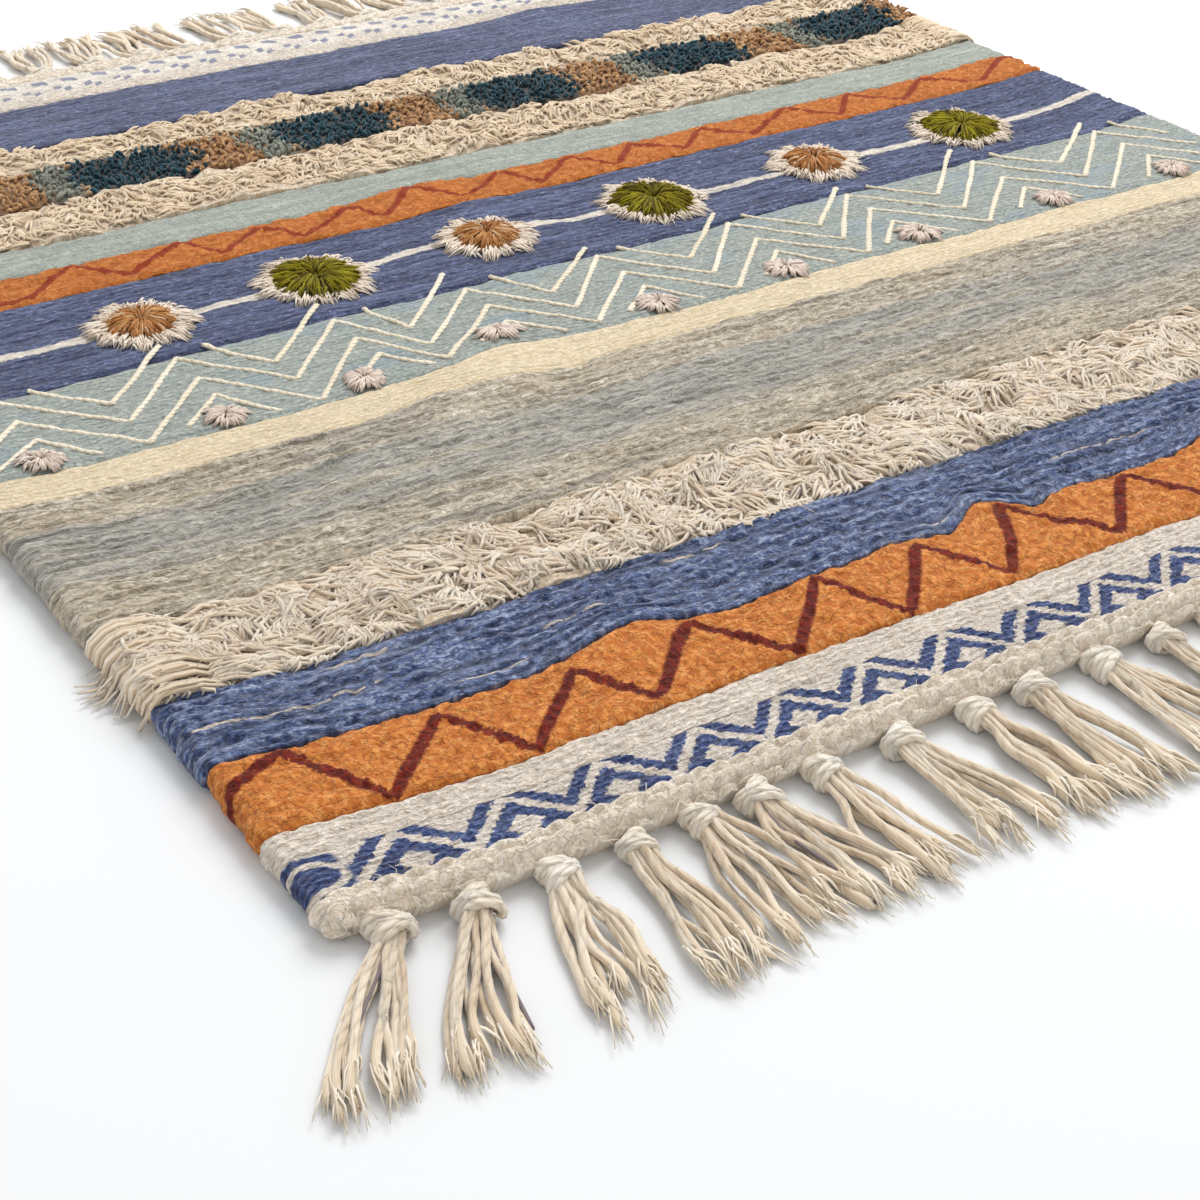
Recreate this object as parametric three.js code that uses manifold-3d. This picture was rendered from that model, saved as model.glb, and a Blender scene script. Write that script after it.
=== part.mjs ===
// A kilim rug, lying flat: a woven wool cloth in cross stripes, with bands of knotted pile, tufted
// rosettes and small tufts on it, and the warp ends knotted into a fringe along both ends.
// Millimetres. X runs along the stripes, Y along the warp from the near fringe to the far one, Z is up.
// A place on the rug is given by x from its middle line and y from the outer edge of its near end.
import * as THREE from "three";
import { mergeVertices } from "three/addons/utils/BufferGeometryUtils.js";
import Module from "manifold-3d";

const RUG_WIDTH = 600; // selvedge to selvedge
const RUG_LENGTH = 639; // between the outer edges of the two fringe strips
const CLEARANCE = 0.35; // between two pieces

const GROUND_HEIGHT = 6; // the cloth under knotted pile
const CLOTH_START = 5.5; // where the cloth begins, past a fringe strip
const STRIPE_EDGE = 1.4; // from the line between two stripes to the full height of each
const STATION_STEP = 24; // the most between two rows of points in a stripe
const ACROSS_COUNT = 20; // points of the top from selvedge to selvedge
const SHOULDER_WIDTH = 5; // from the selvedge to the first of them

const SELVEDGE_WAVE = 1.6; // how far a selvedge wanders

// The stripes of the cloth from its near end: the depth along the warp, the height, and how uneven the
// top is.
const STRIPES = [
  { name: "near_heading", depth: 9, height: 8, unevenness: 0.3 },
  { name: "near_border", depth: 20, height: 9, unevenness: 0.3 },
  { name: "white", depth: 11, height: 9, unevenness: 0.4 },
  { name: "orange", depth: 36, height: 10.5, unevenness: 0.6 },
  { name: "denim", depth: 36, height: 9.5, unevenness: 0.5 },
  { name: "near_shag", depth: 45, height: GROUND_HEIGHT, unevenness: 0 },
  { name: "marled", depth: 84, height: 9.5, unevenness: 0.7 },
  { name: "yellow", depth: 21, height: 9, unevenness: 0.1 },
  { name: "aqua", depth: 60, height: 9, unevenness: 0.1 },
  { name: "rosette_blue", depth: 71, height: 9, unevenness: 0.1 },
  { name: "thin_orange", depth: 26, height: 10, unevenness: 0.4 },
  { name: "sage", depth: 26, height: 9, unevenness: 0.3 },
  { name: "mid_shag", depth: 36, height: GROUND_HEIGHT, unevenness: 0 },
  { name: "figured", depth: 36, height: GROUND_HEIGHT, unevenness: 0 },
  { name: "far_shag", depth: 30, height: GROUND_HEIGHT, unevenness: 0 },
  { name: "far_blue", depth: 49, height: 9.5, unevenness: 0.5 },
  { name: "cream", depth: 11, height: 9, unevenness: 0.3 },
  { name: "far_border", depth: 21, height: 9, unevenness: 0.3 },
  { name: "far_heading", depth: 11, height: 8, unevenness: 0.3 },
];

// The bands of knotted pile, each on its stripe: top is the height over its lumps, lump how deep they
// are, and hang how far the band overhangs each selvedge. Locks are the loose ends at its rims.
const PILES = [
  { node: "shag_near", stripe: "near_shag", top: 16, lump: 2.2, hang: 4, rims: [-1, 1], color: 0xd7c8b4 },
  { node: "shag_mid", stripe: "mid_shag", top: 15, lump: 1.8, hang: 3, rims: [-1], color: 0xd3c3ad },
  { node: "pile_figured", stripe: "figured", top: 13.5, lump: 1, hang: 2, rims: [], color: 0x2f5560 },
  { node: "shag_far", stripe: "far_shag", top: 15, lump: 1.8, hang: 3, rims: [1], color: 0xd3c3ad },
];
const PILE_MARGIN = 2.6; // from the line between two stripes to the foot of the pile
const PILE_STEP = 9; // the most between two rows of points in a pile band
const LOCK_PITCH = 35;
const LOCK_MARGIN = 20; // from the selvedge to the first lock of a rim
const LOCK_LENGTH = 15;
const LOCK_WIDTH = 8;
const LOCK_HEIGHT = 4;
const LOCK_LEAN = 4; // how far the tips wander along the rim
const LOCK_CLEAR = 2; // of a tip, over the stripe beside the band
const SIDE_LOCK_COUNT = 2; // at each selvedge of a band
const SIDE_LOCK_REACH = 6; // past the overhang

const ROSETTE_LINE = 353;
const ROSETTE_RADIUS = 25;
const ROSETTE_HEIGHT = 5.5;
const ROSETTE_SPIKES = 9;
const ROSETTE_VALLEY = 0.82; // of the radius, between two spikes
const EYE_RADIUS = 15;
const EYE_HEIGHT = 6.5;
const BROWN = 0xa56e3c;
const GREEN = 0x788a20;
const ROSETTES = [
  { x: -198, eye: BROWN },
  { x: -123, eye: GREEN },
  { x: -44, eye: BROWN },
  { x: 36, eye: GREEN },
  { x: 123, eye: BROWN },
  { x: 207, eye: GREEN },
];

const TUFT_LINE = 270;
const TUFT_HEIGHT = 4;
const TUFTS = [
  { x: -272, radius: 8, offset: 0 },
  { x: -207, radius: 8, offset: 0 },
  { x: -149, radius: 8, offset: 0 },
  { x: -87, radius: 11, offset: 6 },
  { x: -21, radius: 8, offset: 1 },
  { x: 42, radius: 8, offset: 0 },
  { x: 111, radius: 8, offset: 1 },
  { x: 186, radius: 8, offset: 0 },
  { x: 255, radius: 8, offset: 0 },
];

const STRIP_WIDTH = 5; // the narrow strip that holds the knots
const STRIP_HEIGHT = 7.5;
const STRIP_PIECES = 12; // rings of points along it, less one
const KNOT_LENGTH = 11;
const KNOT_FOOT = 0.3; // over the floor
const TASSEL_COUNT = 24;
const TASSEL_MARGIN = 9; // from the selvedge to the first knot
const KNOT_WANDER = 1; // along the strip
const TIP_WANDER = 1.6;
const REACH_WANDER = 0.04;
const FRINGE_LENGTH = 57; // from the strip's outer edge to the tips
const STRAND_COUNT = 4;
const TASSEL_SPREAD = 16; // between the outermost tips of one tassel

// The tassels of the near end that lie unlike the rest, counted from the left selvedge: shift moves the
// knot along the strip, lean moves the tips, and reach is their share of the fringe's length.
const NEAR_TASSELS = [
  { shift: 0, lean: -25, reach: 0.9 },
  { shift: -2, lean: -14, reach: 1 },
  { shift: -1, lean: -7, reach: 1 },
  { shift: -2, lean: -3, reach: 1.02 },
  { shift: -4, lean: 2, reach: 1.02 },
  { shift: -9, lean: 5, reach: 1.04 },
];

const CLOTH_COLOR = 0x8f9290;
const CREAM_COLOR = 0xded2bc;
const ROSETTE_COLOR = 0xe6dccb;
const YARN_ROUGHNESS = 0.95;

const wasm = await Module();
wasm.setup();
const { lerp } = THREE.MathUtils;

// An even spread of values from -1 to 1 that stays the same for the same numbers.
function scatter(index, salt) {
  const value = Math.sin(index * 12.9898 + salt * 78.233) * 43758.5453;
  return 2 * (value - Math.floor(value)) - 1;
}

// The middle line of a selvedge, side -1 for the left one and 1 for the right one.
function selvedgeX(y, side) {
  const wander = 0.6 * Math.sin(y / 47 + side) + 0.4 * Math.sin(y / 19 - 2 * side);
  return side * (RUG_WIDTH / 2) + SELVEDGE_WAVE * wander;
}

// A point of the rug, from its distance y to the outer edge of the near end.
function place(x, y, z) {
  return new THREE.Vector3(x, y - RUG_LENGTH / 2, z);
}

// A closed geometry from its points and faces, with the faces turned outwards.
function closedGeometry(points, faces) {
  const across = new THREE.Vector3();
  let volume = 0;
  for (const [a, b, c] of faces) {
    volume += points[a].dot(across.crossVectors(points[b], points[c]));
  }
  const geometry = new THREE.BufferGeometry().setFromPoints(points);
  geometry.setIndex(faces.flatMap(([a, b, c]) => (volume > 0 ? [a, b, c] : [a, c, b])));
  return geometry;
}

// The skin over a row of rings that have the same number of points. It closes on itself, or it is
// filled at both ends in the plane that flatten gives.
function loft(rings, flatten) {
  const count = rings[0].length;
  const spans = flatten ? rings.length - 1 : rings.length;
  const total = rings.length * count;
  const faces = [];
  for (let span = 0; span < spans; span++) {
    for (let i = 0; i < count; i++) {
      const next = (i + 1) % count;
      const a = span * count + i;
      const b = span * count + next;
      const c = ((span + 1) * count + next) % total;
      const d = ((span + 1) * count + i) % total;
      faces.push([a, b, c], [a, c, d]);
    }
  }
  if (flatten) {
    const last = total - count;
    const fill = (ring) =>
      THREE.ShapeUtils.triangulateShape(ring.map(flatten), []).map((face) =>
        face.toSorted((one, other) => one - other),
      );
    fill(rings[0]).forEach(([a, b, c]) => faces.push([c, b, a]));
    fill(rings.at(-1)).forEach(([a, b, c]) => faces.push([last + a, last + b, last + c]));
  }
  return closedGeometry(rings.flat(), faces);
}

const alongWarp = (point) => new THREE.Vector2(point.x, point.z);
const alongWeft = (point) => new THREE.Vector2(point.y, point.z);
const upright = (point) => new THREE.Vector2(point.x, point.y);

// Several closed geometries that run into each other, made one.
function joined(geometries) {
  const solids = geometries.map((geometry) => {
    const bare = mergeVertices(geometry);
    return new wasm.Manifold(
      new wasm.Mesh({
        numProp: 3,
        vertProperties: bare.attributes.position.array,
        triVerts: new Uint32Array(bare.index.array),
      }),
    );
  });
  const { vertProperties, triVerts } = wasm.Manifold.union(solids).getMesh();
  const geometry = new THREE.BufferGeometry();
  geometry.setAttribute("position", new THREE.BufferAttribute(vertProperties, 3));
  geometry.setIndex(new THREE.BufferAttribute(triVerts, 1));
  return geometry;
}

// The rounded edge of a slab at a selvedge, from its foot upwards: inset from the outermost line, and
// rise as a share of the slab's height.
const EDGE_PROFILE = [
  { inset: 3.5, rise: 0 },
  { inset: 0.6, rise: 0.2 },
  { inset: 0, rise: 0.5 },
  { inset: 0.9, rise: 0.85 },
];

// One ring of points round a slab, across the rug at y: bottom and height give its foot and its edge,
// and topAt the height of its top.
function slabRing(y, { bottom, height, hang, topAt }) {
  const outer = (side) => selvedgeX(y, side) + side * hang;
  const edge = (side) =>
    EDGE_PROFILE.map(({ inset, rise }) => place(outer(side) - side * inset, y, bottom + rise * height));
  const top = Array.from({ length: ACROSS_COUNT }, (_, i) => {
    const share = i / (ACROSS_COUNT - 1);
    const x = lerp(outer(-1) + SHOULDER_WIDTH, outer(1) - SHOULDER_WIDTH, share);
    return place(x, y, topAt(x, i));
  });
  return [...edge(-1), ...top, ...edge(1).reverse()];
}

// The distances at which a stretch is cut into even steps of no more than step.
function stations(start, end, step) {
  const count = Math.ceil((end - start) / step);
  return Array.from({ length: count + 1 }, (_, i) => lerp(start, end, i / count));
}

// The stripes with the distances at which each starts and ends.
function laidStripes() {
  let start = 0;
  return STRIPES.map((stripe) => {
    const laid = { ...stripe, start, end: start + stripe.depth };
    start = laid.end;
    return laid;
  });
}

const stripes = laidStripes();

function stripeAt(y) {
  return stripes.find((stripe) => y < stripe.end);
}

function clothRings(stripe) {
  const start = Math.max(stripe.start + STRIPE_EDGE, CLOTH_START);
  const end = Math.min(stripe.end - STRIPE_EDGE, RUG_LENGTH - CLOTH_START);
  return stations(start, end, STATION_STEP).map((y) => {
    const wave = (x) => 0.6 * Math.sin(x / 37 + y / 23) + 0.4 * Math.sin(x / 19 - y / 31);
    const topAt = (x) => stripe.height + stripe.unevenness * wave(x);
    return slabRing(y, { bottom: 0, height: stripe.height, hang: 0, topAt });
  });
}

function clothGeometry() {
  return loft(stripes.flatMap(clothRings), alongWarp);
}

// A yarn end of three sides, with its flat side down. Each stop has the middle of that side and the
// yarn's width and height there.
function strand(stops) {
  const up = new THREE.Vector3(0, 0, 1);
  const rings = stops.map(({ at, width, height }, i) => {
    const before = stops[Math.max(i - 1, 0)].at;
    const after = stops[Math.min(i + 1, stops.length - 1)].at;
    const run = after.clone().sub(before).normalize();
    const side = run.clone().cross(up).normalize();
    const crown = side.clone().cross(run);
    return [
      at.clone().addScaledVector(side, -width / 2),
      at.clone().addScaledVector(side, width / 2),
      at.clone().addScaledVector(crown, height),
    ];
  });
  const whole = stops.at(-1).at.clone().sub(stops[0].at);
  return loft(rings, Math.abs(whole.x) > Math.abs(whole.y) ? alongWeft : alongWarp);
}

// A lock of shag from its root inside the pile, over the rim to its tip.
function lock(root, middle, tip) {
  return strand([
    { at: root, width: LOCK_WIDTH, height: LOCK_HEIGHT },
    { at: middle, width: LOCK_WIDTH, height: LOCK_HEIGHT * 0.9 },
    { at: tip, width: LOCK_WIDTH * 0.35, height: LOCK_HEIGHT * 0.4 },
  ]);
}

// The locks along one rim of a pile band, facing -1 for the near rim and 1 for the far one.
function rimLocks(pile, stripe, facing) {
  const rim = facing < 0 ? stripe.start + PILE_MARGIN : stripe.end - PILE_MARGIN;
  const beside = stripeAt(rim + facing * LOCK_LENGTH);
  const span = RUG_WIDTH - 2 * LOCK_MARGIN;
  const count = Math.round(span / LOCK_PITCH) + 1;
  return Array.from({ length: count }, (_, i) => {
    const x = (i / (count - 1) - 0.5) * span + LOCK_LEAN * scatter(i, facing);
    const tipX = x + LOCK_LEAN * scatter(i, 2 * facing);
    const tipHeight = beside.height + beside.unevenness + LOCK_CLEAR;
    return lock(
      place(x, rim - facing * 4, pile.top - pile.lump - 1.5 * LOCK_HEIGHT),
      place(x, rim + facing * 3, pile.top - LOCK_HEIGHT),
      place(tipX, rim + facing * (LOCK_LENGTH - 5 + 2 * scatter(i, 3)), tipHeight),
    );
  });
}

// The locks that hang over one selvedge.
function sideLocks(pile, stripe, side) {
  const edge = (y) => selvedgeX(y, side) + side * pile.hang;
  return Array.from({ length: SIDE_LOCK_COUNT }, (_, i) => {
    const y = lerp(stripe.start, stripe.end, (i + 1) / (SIDE_LOCK_COUNT + 1));
    return lock(
      place(edge(y) - side * 5, y, GROUND_HEIGHT + 3),
      place(edge(y) + side * 2.5, y, GROUND_HEIGHT + 1.5),
      place(edge(y) + side * SIDE_LOCK_REACH, y + 2 * scatter(i, side), 1),
    );
  });
}

function pileGeometry(pile) {
  const stripe = stripes.find(({ name }) => name === pile.stripe);
  const rows = stations(stripe.start + PILE_MARGIN, stripe.end - PILE_MARGIN, PILE_STEP);
  const rings = rows.map((y, row) => {
    const rounding = row === 0 || row === rows.length - 1 ? 2 : 1;
    const topAt = (_, column) => pile.top - pile.lump * (rounding + scatter(column, row) * 0.9);
    const bottom = GROUND_HEIGHT + CLEARANCE;
    return slabRing(y, { bottom, height: pile.top - bottom - pile.lump, hang: pile.hang, topAt });
  });
  return joined([
    loft(rings, alongWarp),
    ...pile.rims.flatMap((facing) => rimLocks(pile, stripe, facing)),
    ...sideLocks(pile, stripe, -1),
    ...sideLocks(pile, stripe, 1),
  ]);
}

// The height at which a piece stands on the cloth at y.
function seatHeight(y) {
  const { height, unevenness } = stripeAt(y);
  return height + unevenness + CLEARANCE;
}

// A ring of points round a place on the cloth.
function roundRing(x, y, z, sides, radiusAt) {
  const centre = place(x, y, z);
  return Array.from({ length: sides }, (_, i) => {
    const angle = (2 * Math.PI * i) / sides;
    const radius = radiusAt(i);
    return centre.clone().add(new THREE.Vector3(radius * Math.cos(angle), radius * Math.sin(angle), 0));
  });
}

// A low tuft of cut yarn.
function moundGeometry(x, y, radius, height, sides) {
  const bottom = seatHeight(y);
  const uneven = (i) => radius * (0.93 + 0.07 * scatter(i, x));
  return loft(
    [
      roundRing(x, y, bottom, sides, uneven),
      roundRing(x, y, bottom + height * 0.6, sides, (i) => uneven(i) * 0.95),
      roundRing(x, y, bottom + height, sides, (i) => uneven(i) * 0.5),
    ],
    upright,
  );
}

// The white ring of a rosette, with its loose ends drawn out into spikes.
function rosetteGeometry({ x }) {
  const bottom = seatHeight(ROSETTE_LINE);
  const inner = EYE_RADIUS + CLEARANCE;
  const sections = Array.from({ length: 2 * ROSETTE_SPIKES }, (_, i) => {
    const radius = ROSETTE_RADIUS * (i % 2 ? ROSETTE_VALLEY : 1 + 0.06 * scatter(i, x));
    const angle = (Math.PI * i) / ROSETTE_SPIKES;
    const centre = place(x, ROSETTE_LINE, bottom);
    const out = new THREE.Vector3(Math.cos(angle), Math.sin(angle), 0);
    const point = (distance, rise) =>
      centre.clone().addScaledVector(out, distance).add(new THREE.Vector3(0, 0, rise));
    return [
      point(radius, 0),
      point(radius - 1.5, ROSETTE_HEIGHT * 0.6),
      point(inner + 2, ROSETTE_HEIGHT),
      point(inner, 0),
    ];
  });
  return loft(sections);
}

// The knot at the head of a tassel, a lump with a flat foot: out is the distance from the strip's outer
// edge, half its half width.
const KNOT_SECTIONS = [
  { out: -2, half: 4, height: 6 },
  { out: 3.5, half: 5.5, height: 9 },
  { out: KNOT_LENGTH, half: 5, height: 5 },
];
const KNOT_OUTLINE = [
  { across: -0.7, rise: 0 },
  { across: 0.7, rise: 0 },
  { across: 1, rise: 0.5 },
  { across: 0.6, rise: 1 },
  { across: -0.6, rise: 1 },
  { across: -1, rise: 0.5 },
];

// A strand from its root in the knot to its tip: share of the way, how much of the tassel's spread and
// lean it has taken on, its height over the floor, and its section.
const STRAND_STOPS = [
  { share: -0.08, spreading: 0.42, leaning: 0, z: 1.5, width: 2, height: 2 },
  { share: 0.2, spreading: 0.8, leaning: 0.3, z: 0, width: 3, height: 2.8 },
  { share: 1, spreading: 1, leaning: 1, z: 0, width: 2.2, height: 1.6 },
];

// One tassel of a fringe, as its knot and its strands. outwards gives a point at a distance from the
// strip's outer edge.
function tassel(x, lean, reach, outwards) {
  const knot = loft(
    KNOT_SECTIONS.map(({ out, half, height }) =>
      KNOT_OUTLINE.map(({ across, rise }) =>
        outwards(x + across * half, out, KNOT_FOOT + rise * height),
      ),
    ),
    alongWarp,
  );
  const strands = Array.from({ length: STRAND_COUNT }, (_, i) => {
    const spread = (i / (STRAND_COUNT - 1) - 0.5) * TASSEL_SPREAD;
    const tipOut = FRINGE_LENGTH * (reach + REACH_WANDER * scatter(i, x));
    return strand(
      STRAND_STOPS.map(({ share, spreading, leaning, z, width, height }) => {
        const out = lerp(KNOT_LENGTH, tipOut, share);
        return { at: outwards(x + spreading * spread + leaning * lean, out, z), width, height };
      }),
    );
  });
  return [knot, ...strands];
}

// The fringe of one end: facing is -1 at the near end and 1 at the far one.
function fringeGeometry(facing, tassels) {
  const edge = facing < 0 ? 0 : RUG_LENGTH;
  const outwards = (x, out, z) => new THREE.Vector3(x, edge + facing * out - RUG_LENGTH / 2, z);
  const left = selvedgeX(edge, -1) + 1;
  const right = selvedgeX(edge, 1) - 1;
  const strip = loft(
    stations(left, right, (right - left) / STRIP_PIECES).map((x, i) => {
      const height = STRIP_HEIGHT + 0.4 * scatter(i, facing);
      return [
        outwards(x, 0, 0),
        outwards(x, 0, height * 0.6),
        outwards(x, -1.2, height),
        outwards(x, -STRIP_WIDTH, height),
        outwards(x, -STRIP_WIDTH, 0),
      ];
    }),
    alongWeft,
  );
  const pitch = (RUG_WIDTH - 2 * TASSEL_MARGIN) / (TASSEL_COUNT - 1);
  const all = Array.from({ length: TASSEL_COUNT }, (_, i) => {
    const plain = {
      shift: KNOT_WANDER * scatter(i, facing),
      lean: TIP_WANDER * scatter(i, 5 * facing),
      reach: 1 + REACH_WANDER * scatter(i, 7),
    };
    const { shift, lean, reach } = tassels[i] ?? plain;
    const x = TASSEL_MARGIN - RUG_WIDTH / 2 + i * pitch + shift;
    return tassel(x, lean, reach, outwards);
  });
  return joined([strip, ...all.flat()]);
}

const rug = new THREE.Group();

function add(name, geometry, color) {
  const material = new THREE.MeshStandardMaterial({ color, roughness: YARN_ROUGHNESS, metalness: 0 });
  const mesh = new THREE.Mesh(geometry, material);
  mesh.name = name;
  rug.add(mesh);
}

add("cloth", clothGeometry(), CLOTH_COLOR);
PILES.forEach((pile) => add(pile.node, pileGeometry(pile), pile.color));
ROSETTES.forEach((rosette, i) => {
  const name = "rosette_" + (i + 1);
  const eye = moundGeometry(rosette.x, ROSETTE_LINE, EYE_RADIUS, EYE_HEIGHT, ROSETTE_SPIKES);
  add(name, rosetteGeometry(rosette), ROSETTE_COLOR);
  add(name + "_eye", eye, rosette.eye);
});
TUFTS.forEach(({ x, radius, offset }, i) => {
  add("tuft_" + (i + 1), moundGeometry(x, TUFT_LINE + offset, radius, TUFT_HEIGHT, 7), CREAM_COLOR);
});
add("fringe_near", fringeGeometry(-1, NEAR_TASSELS), CREAM_COLOR);
add("fringe_far", fringeGeometry(1, []), CREAM_COLOR);

// The frame's origin is under the middle of the whole rug, at the floor.
const box = new THREE.Box3().setFromObject(rug);
const middle = box.getCenter(new THREE.Vector3());
rug.position.set(-middle.x, -middle.y, -box.min.z);

export default rug;
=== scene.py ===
import math

import bmesh
import bpy
import numpy as np
from mathutils import Matrix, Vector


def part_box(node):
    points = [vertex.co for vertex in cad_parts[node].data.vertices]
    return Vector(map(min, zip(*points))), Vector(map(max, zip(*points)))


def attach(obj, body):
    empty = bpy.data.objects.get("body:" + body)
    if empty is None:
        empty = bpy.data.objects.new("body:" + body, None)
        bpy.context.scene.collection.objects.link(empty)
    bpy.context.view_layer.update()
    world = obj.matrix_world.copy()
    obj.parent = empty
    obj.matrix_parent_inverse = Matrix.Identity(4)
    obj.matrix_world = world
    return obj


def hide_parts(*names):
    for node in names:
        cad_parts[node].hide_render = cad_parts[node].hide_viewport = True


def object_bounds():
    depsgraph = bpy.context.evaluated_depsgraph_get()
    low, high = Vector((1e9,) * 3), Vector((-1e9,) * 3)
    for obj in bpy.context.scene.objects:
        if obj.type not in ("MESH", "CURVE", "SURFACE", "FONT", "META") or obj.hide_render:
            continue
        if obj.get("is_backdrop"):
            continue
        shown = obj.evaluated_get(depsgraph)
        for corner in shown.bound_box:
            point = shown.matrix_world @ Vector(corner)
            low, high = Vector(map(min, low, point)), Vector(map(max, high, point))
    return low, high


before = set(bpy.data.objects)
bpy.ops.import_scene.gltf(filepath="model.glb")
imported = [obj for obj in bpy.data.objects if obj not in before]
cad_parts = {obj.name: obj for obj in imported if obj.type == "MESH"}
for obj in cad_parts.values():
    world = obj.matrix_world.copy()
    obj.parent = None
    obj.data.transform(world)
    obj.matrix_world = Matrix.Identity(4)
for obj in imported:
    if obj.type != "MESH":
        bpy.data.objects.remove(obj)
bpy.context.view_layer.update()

# The near heading: cream wool twined in thick slanting rows between the border and the knots, beaten down
# hard. This section also has what every stripe of the cloth needs: how the cloth lies, its yarn, and the
# making of a slab whose rows of weft turn round both selvedges.
cloth_low, cloth_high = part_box("cloth")
KNOTS_TO_CLOTH = 0.0125
MIDDLE = (cloth_low.x + cloth_high.x) / 2
NEAR = cloth_low.y - KNOTS_TO_CLOTH
HALF_WIDTH = 0.3
SELVEDGE_LIFT = 0.0055
LIFT_REACH = 0.028
TURN_UNDER = math.radians(160)

# Weavers beat each row down by hand, so the lines between the stripes swell and sag. Each swell is its x,
# its d, its rise, its reach across and its reach along.
SWELLS = [
    (-0.210, 0.083, -0.0026, 0.026, 0.014),
    (-0.163, 0.083, 0.0060, 0.018, 0.014),
    (-0.128, 0.083, -0.0026, 0.018, 0.014),
    (-0.063, 0.083, 0.0020, 0.009, 0.012),
    (-0.041, 0.083, -0.0024, 0.009, 0.012),
    (-0.021, 0.083, 0.0078, 0.010, 0.013),
    (-0.004, 0.083, -0.0040, 0.007, 0.012),
    (0.048, 0.083, -0.0024, 0.022, 0.013),
    (0.090, 0.083, 0.0080, 0.015, 0.014),
    (0.150, 0.083, -0.0020, 0.025, 0.013),
    (0.205, 0.083, 0.0045, 0.020, 0.014),
    (-0.118, 0.248, 0.0062, 0.030, 0.014),
    (-0.080, 0.248, -0.0030, 0.012, 0.012),
    (-0.092, 0.272, 0.0070, 0.022, 0.012),
    (-0.030, 0.400, 0.0048, 0.022, 0.012),
    (-0.047, 0.427, 0.0060, 0.022, 0.012),
    (0.130, 0.603, 0.0050, 0.030, 0.020),
]


def patches(x, y, seed):
    """Smooth random values from -1 to 1, one for each unit square of x and y."""
    column, row = np.floor(x), np.floor(y)
    u, v = x - column, y - row
    u, v = u * u * (3 - 2 * u), v * v * (3 - 2 * v)

    def corner(right, up):
        value = np.sin((column + right) * 127.1 + (row + up) * 311.7 + seed * 74.7) * 43758.5453
        return 2 * (value - np.floor(value)) - 1

    low = corner(0, 0) * (1 - u) + corner(1, 0) * u
    high = corner(0, 1) * (1 - u) + corner(1, 1) * u
    return low * (1 - v) + high * v


def lie(x, d):
    """How far the cloth has moved along the warp at a place on it."""
    edge = np.maximum(HALF_WIDTH - np.abs(x), 0)
    moved = SELVEDGE_LIFT * np.exp(-((edge / LIFT_REACH) ** 2)) * np.clip(0.7 + d / 0.05, 0, 1)
    moved = moved * np.clip((0.64 - d) / 0.03, 0, 1)
    for swell_x, swell_d, rise, across, along in SWELLS:
        near = ((x - swell_x) / across) ** 2 + ((d - swell_d) / along) ** 2
        moved = moved + rise * np.exp(-near)
    inside = np.clip((d - 0.004) / 0.02, 0, 1) * np.clip((0.642 - d) / 0.02, 0, 1)
    moved = moved + inside * 0.0011 * patches(x / 0.045, d / 0.03, 1)
    return moved + inside * 0.0005 * patches(x / 0.011, d / 0.02, 2)


def wander(d, side):
    """How far a selvedge wanders from its straight line."""
    left = np.where(side < 0, 0.0018 + 0.0022 * np.clip((0.2 - d) / 0.1, 0, 1), 0)
    return 0.0016 * (0.6 * np.sin(d / 0.047 + side) + 0.4 * np.sin(d / 0.019 - 2 * side)) - left


def on_rug(x, d):
    """The frame's X and Y of places on the rug."""
    side = np.sign(x)
    right = MIDDLE + x + wander(d, side) * np.minimum(np.abs(x) / HALF_WIDTH, 1) ** 8
    return right, NEAR + d + lie(x, d)


def paint(red, green, blue):
    """A colour as it looks on a screen, each part from 0 to 255, turned into light."""
    shares = [part / 255 for part in (red, green, blue)]
    light = [((s + 0.055) / 1.055) ** 2.4 if s > 0.04045 else s / 12.92 for s in shares]
    return (*light, 1.0)


class Value:
    """A number or colour on its way through the shader nodes of one yarn."""

    def __init__(self, yarn, socket):
        self.yarn = yarn
        self.socket = socket

    def math(self, operation, *numbers):
        return self.yarn.node("ShaderNodeMath", {"operation": operation}, dict(enumerate(numbers)))

    def __add__(self, other):
        return self.math("ADD", self, other)

    __radd__ = __add__

    def __sub__(self, other):
        return self.math("SUBTRACT", self, other)

    def __rsub__(self, other):
        return self.math("SUBTRACT", other, self)

    def __mul__(self, other):
        return self.math("MULTIPLY", self, other)

    __rmul__ = __mul__

    def __truediv__(self, other):
        return self.math("DIVIDE", self, other)

    def __rtruediv__(self, other):
        return self.math("DIVIDE", other, self)

    def __abs__(self):
        return self.math("ABSOLUTE", self)

    def most(self, other):
        return self.math("MAXIMUM", self, other)

    def fraction(self):
        return self.math("FRACT", self)

    def root(self):
        return self.math("SQRT", self)

    def step(self, low, high):
        """0 up to low, 1 past high and smooth between them."""
        settings = {"interpolation_type": "SMOOTHSTEP"}
        return self.yarn.node("ShaderNodeMapRange", settings, {0: self, 1: low, 2: high})


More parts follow.
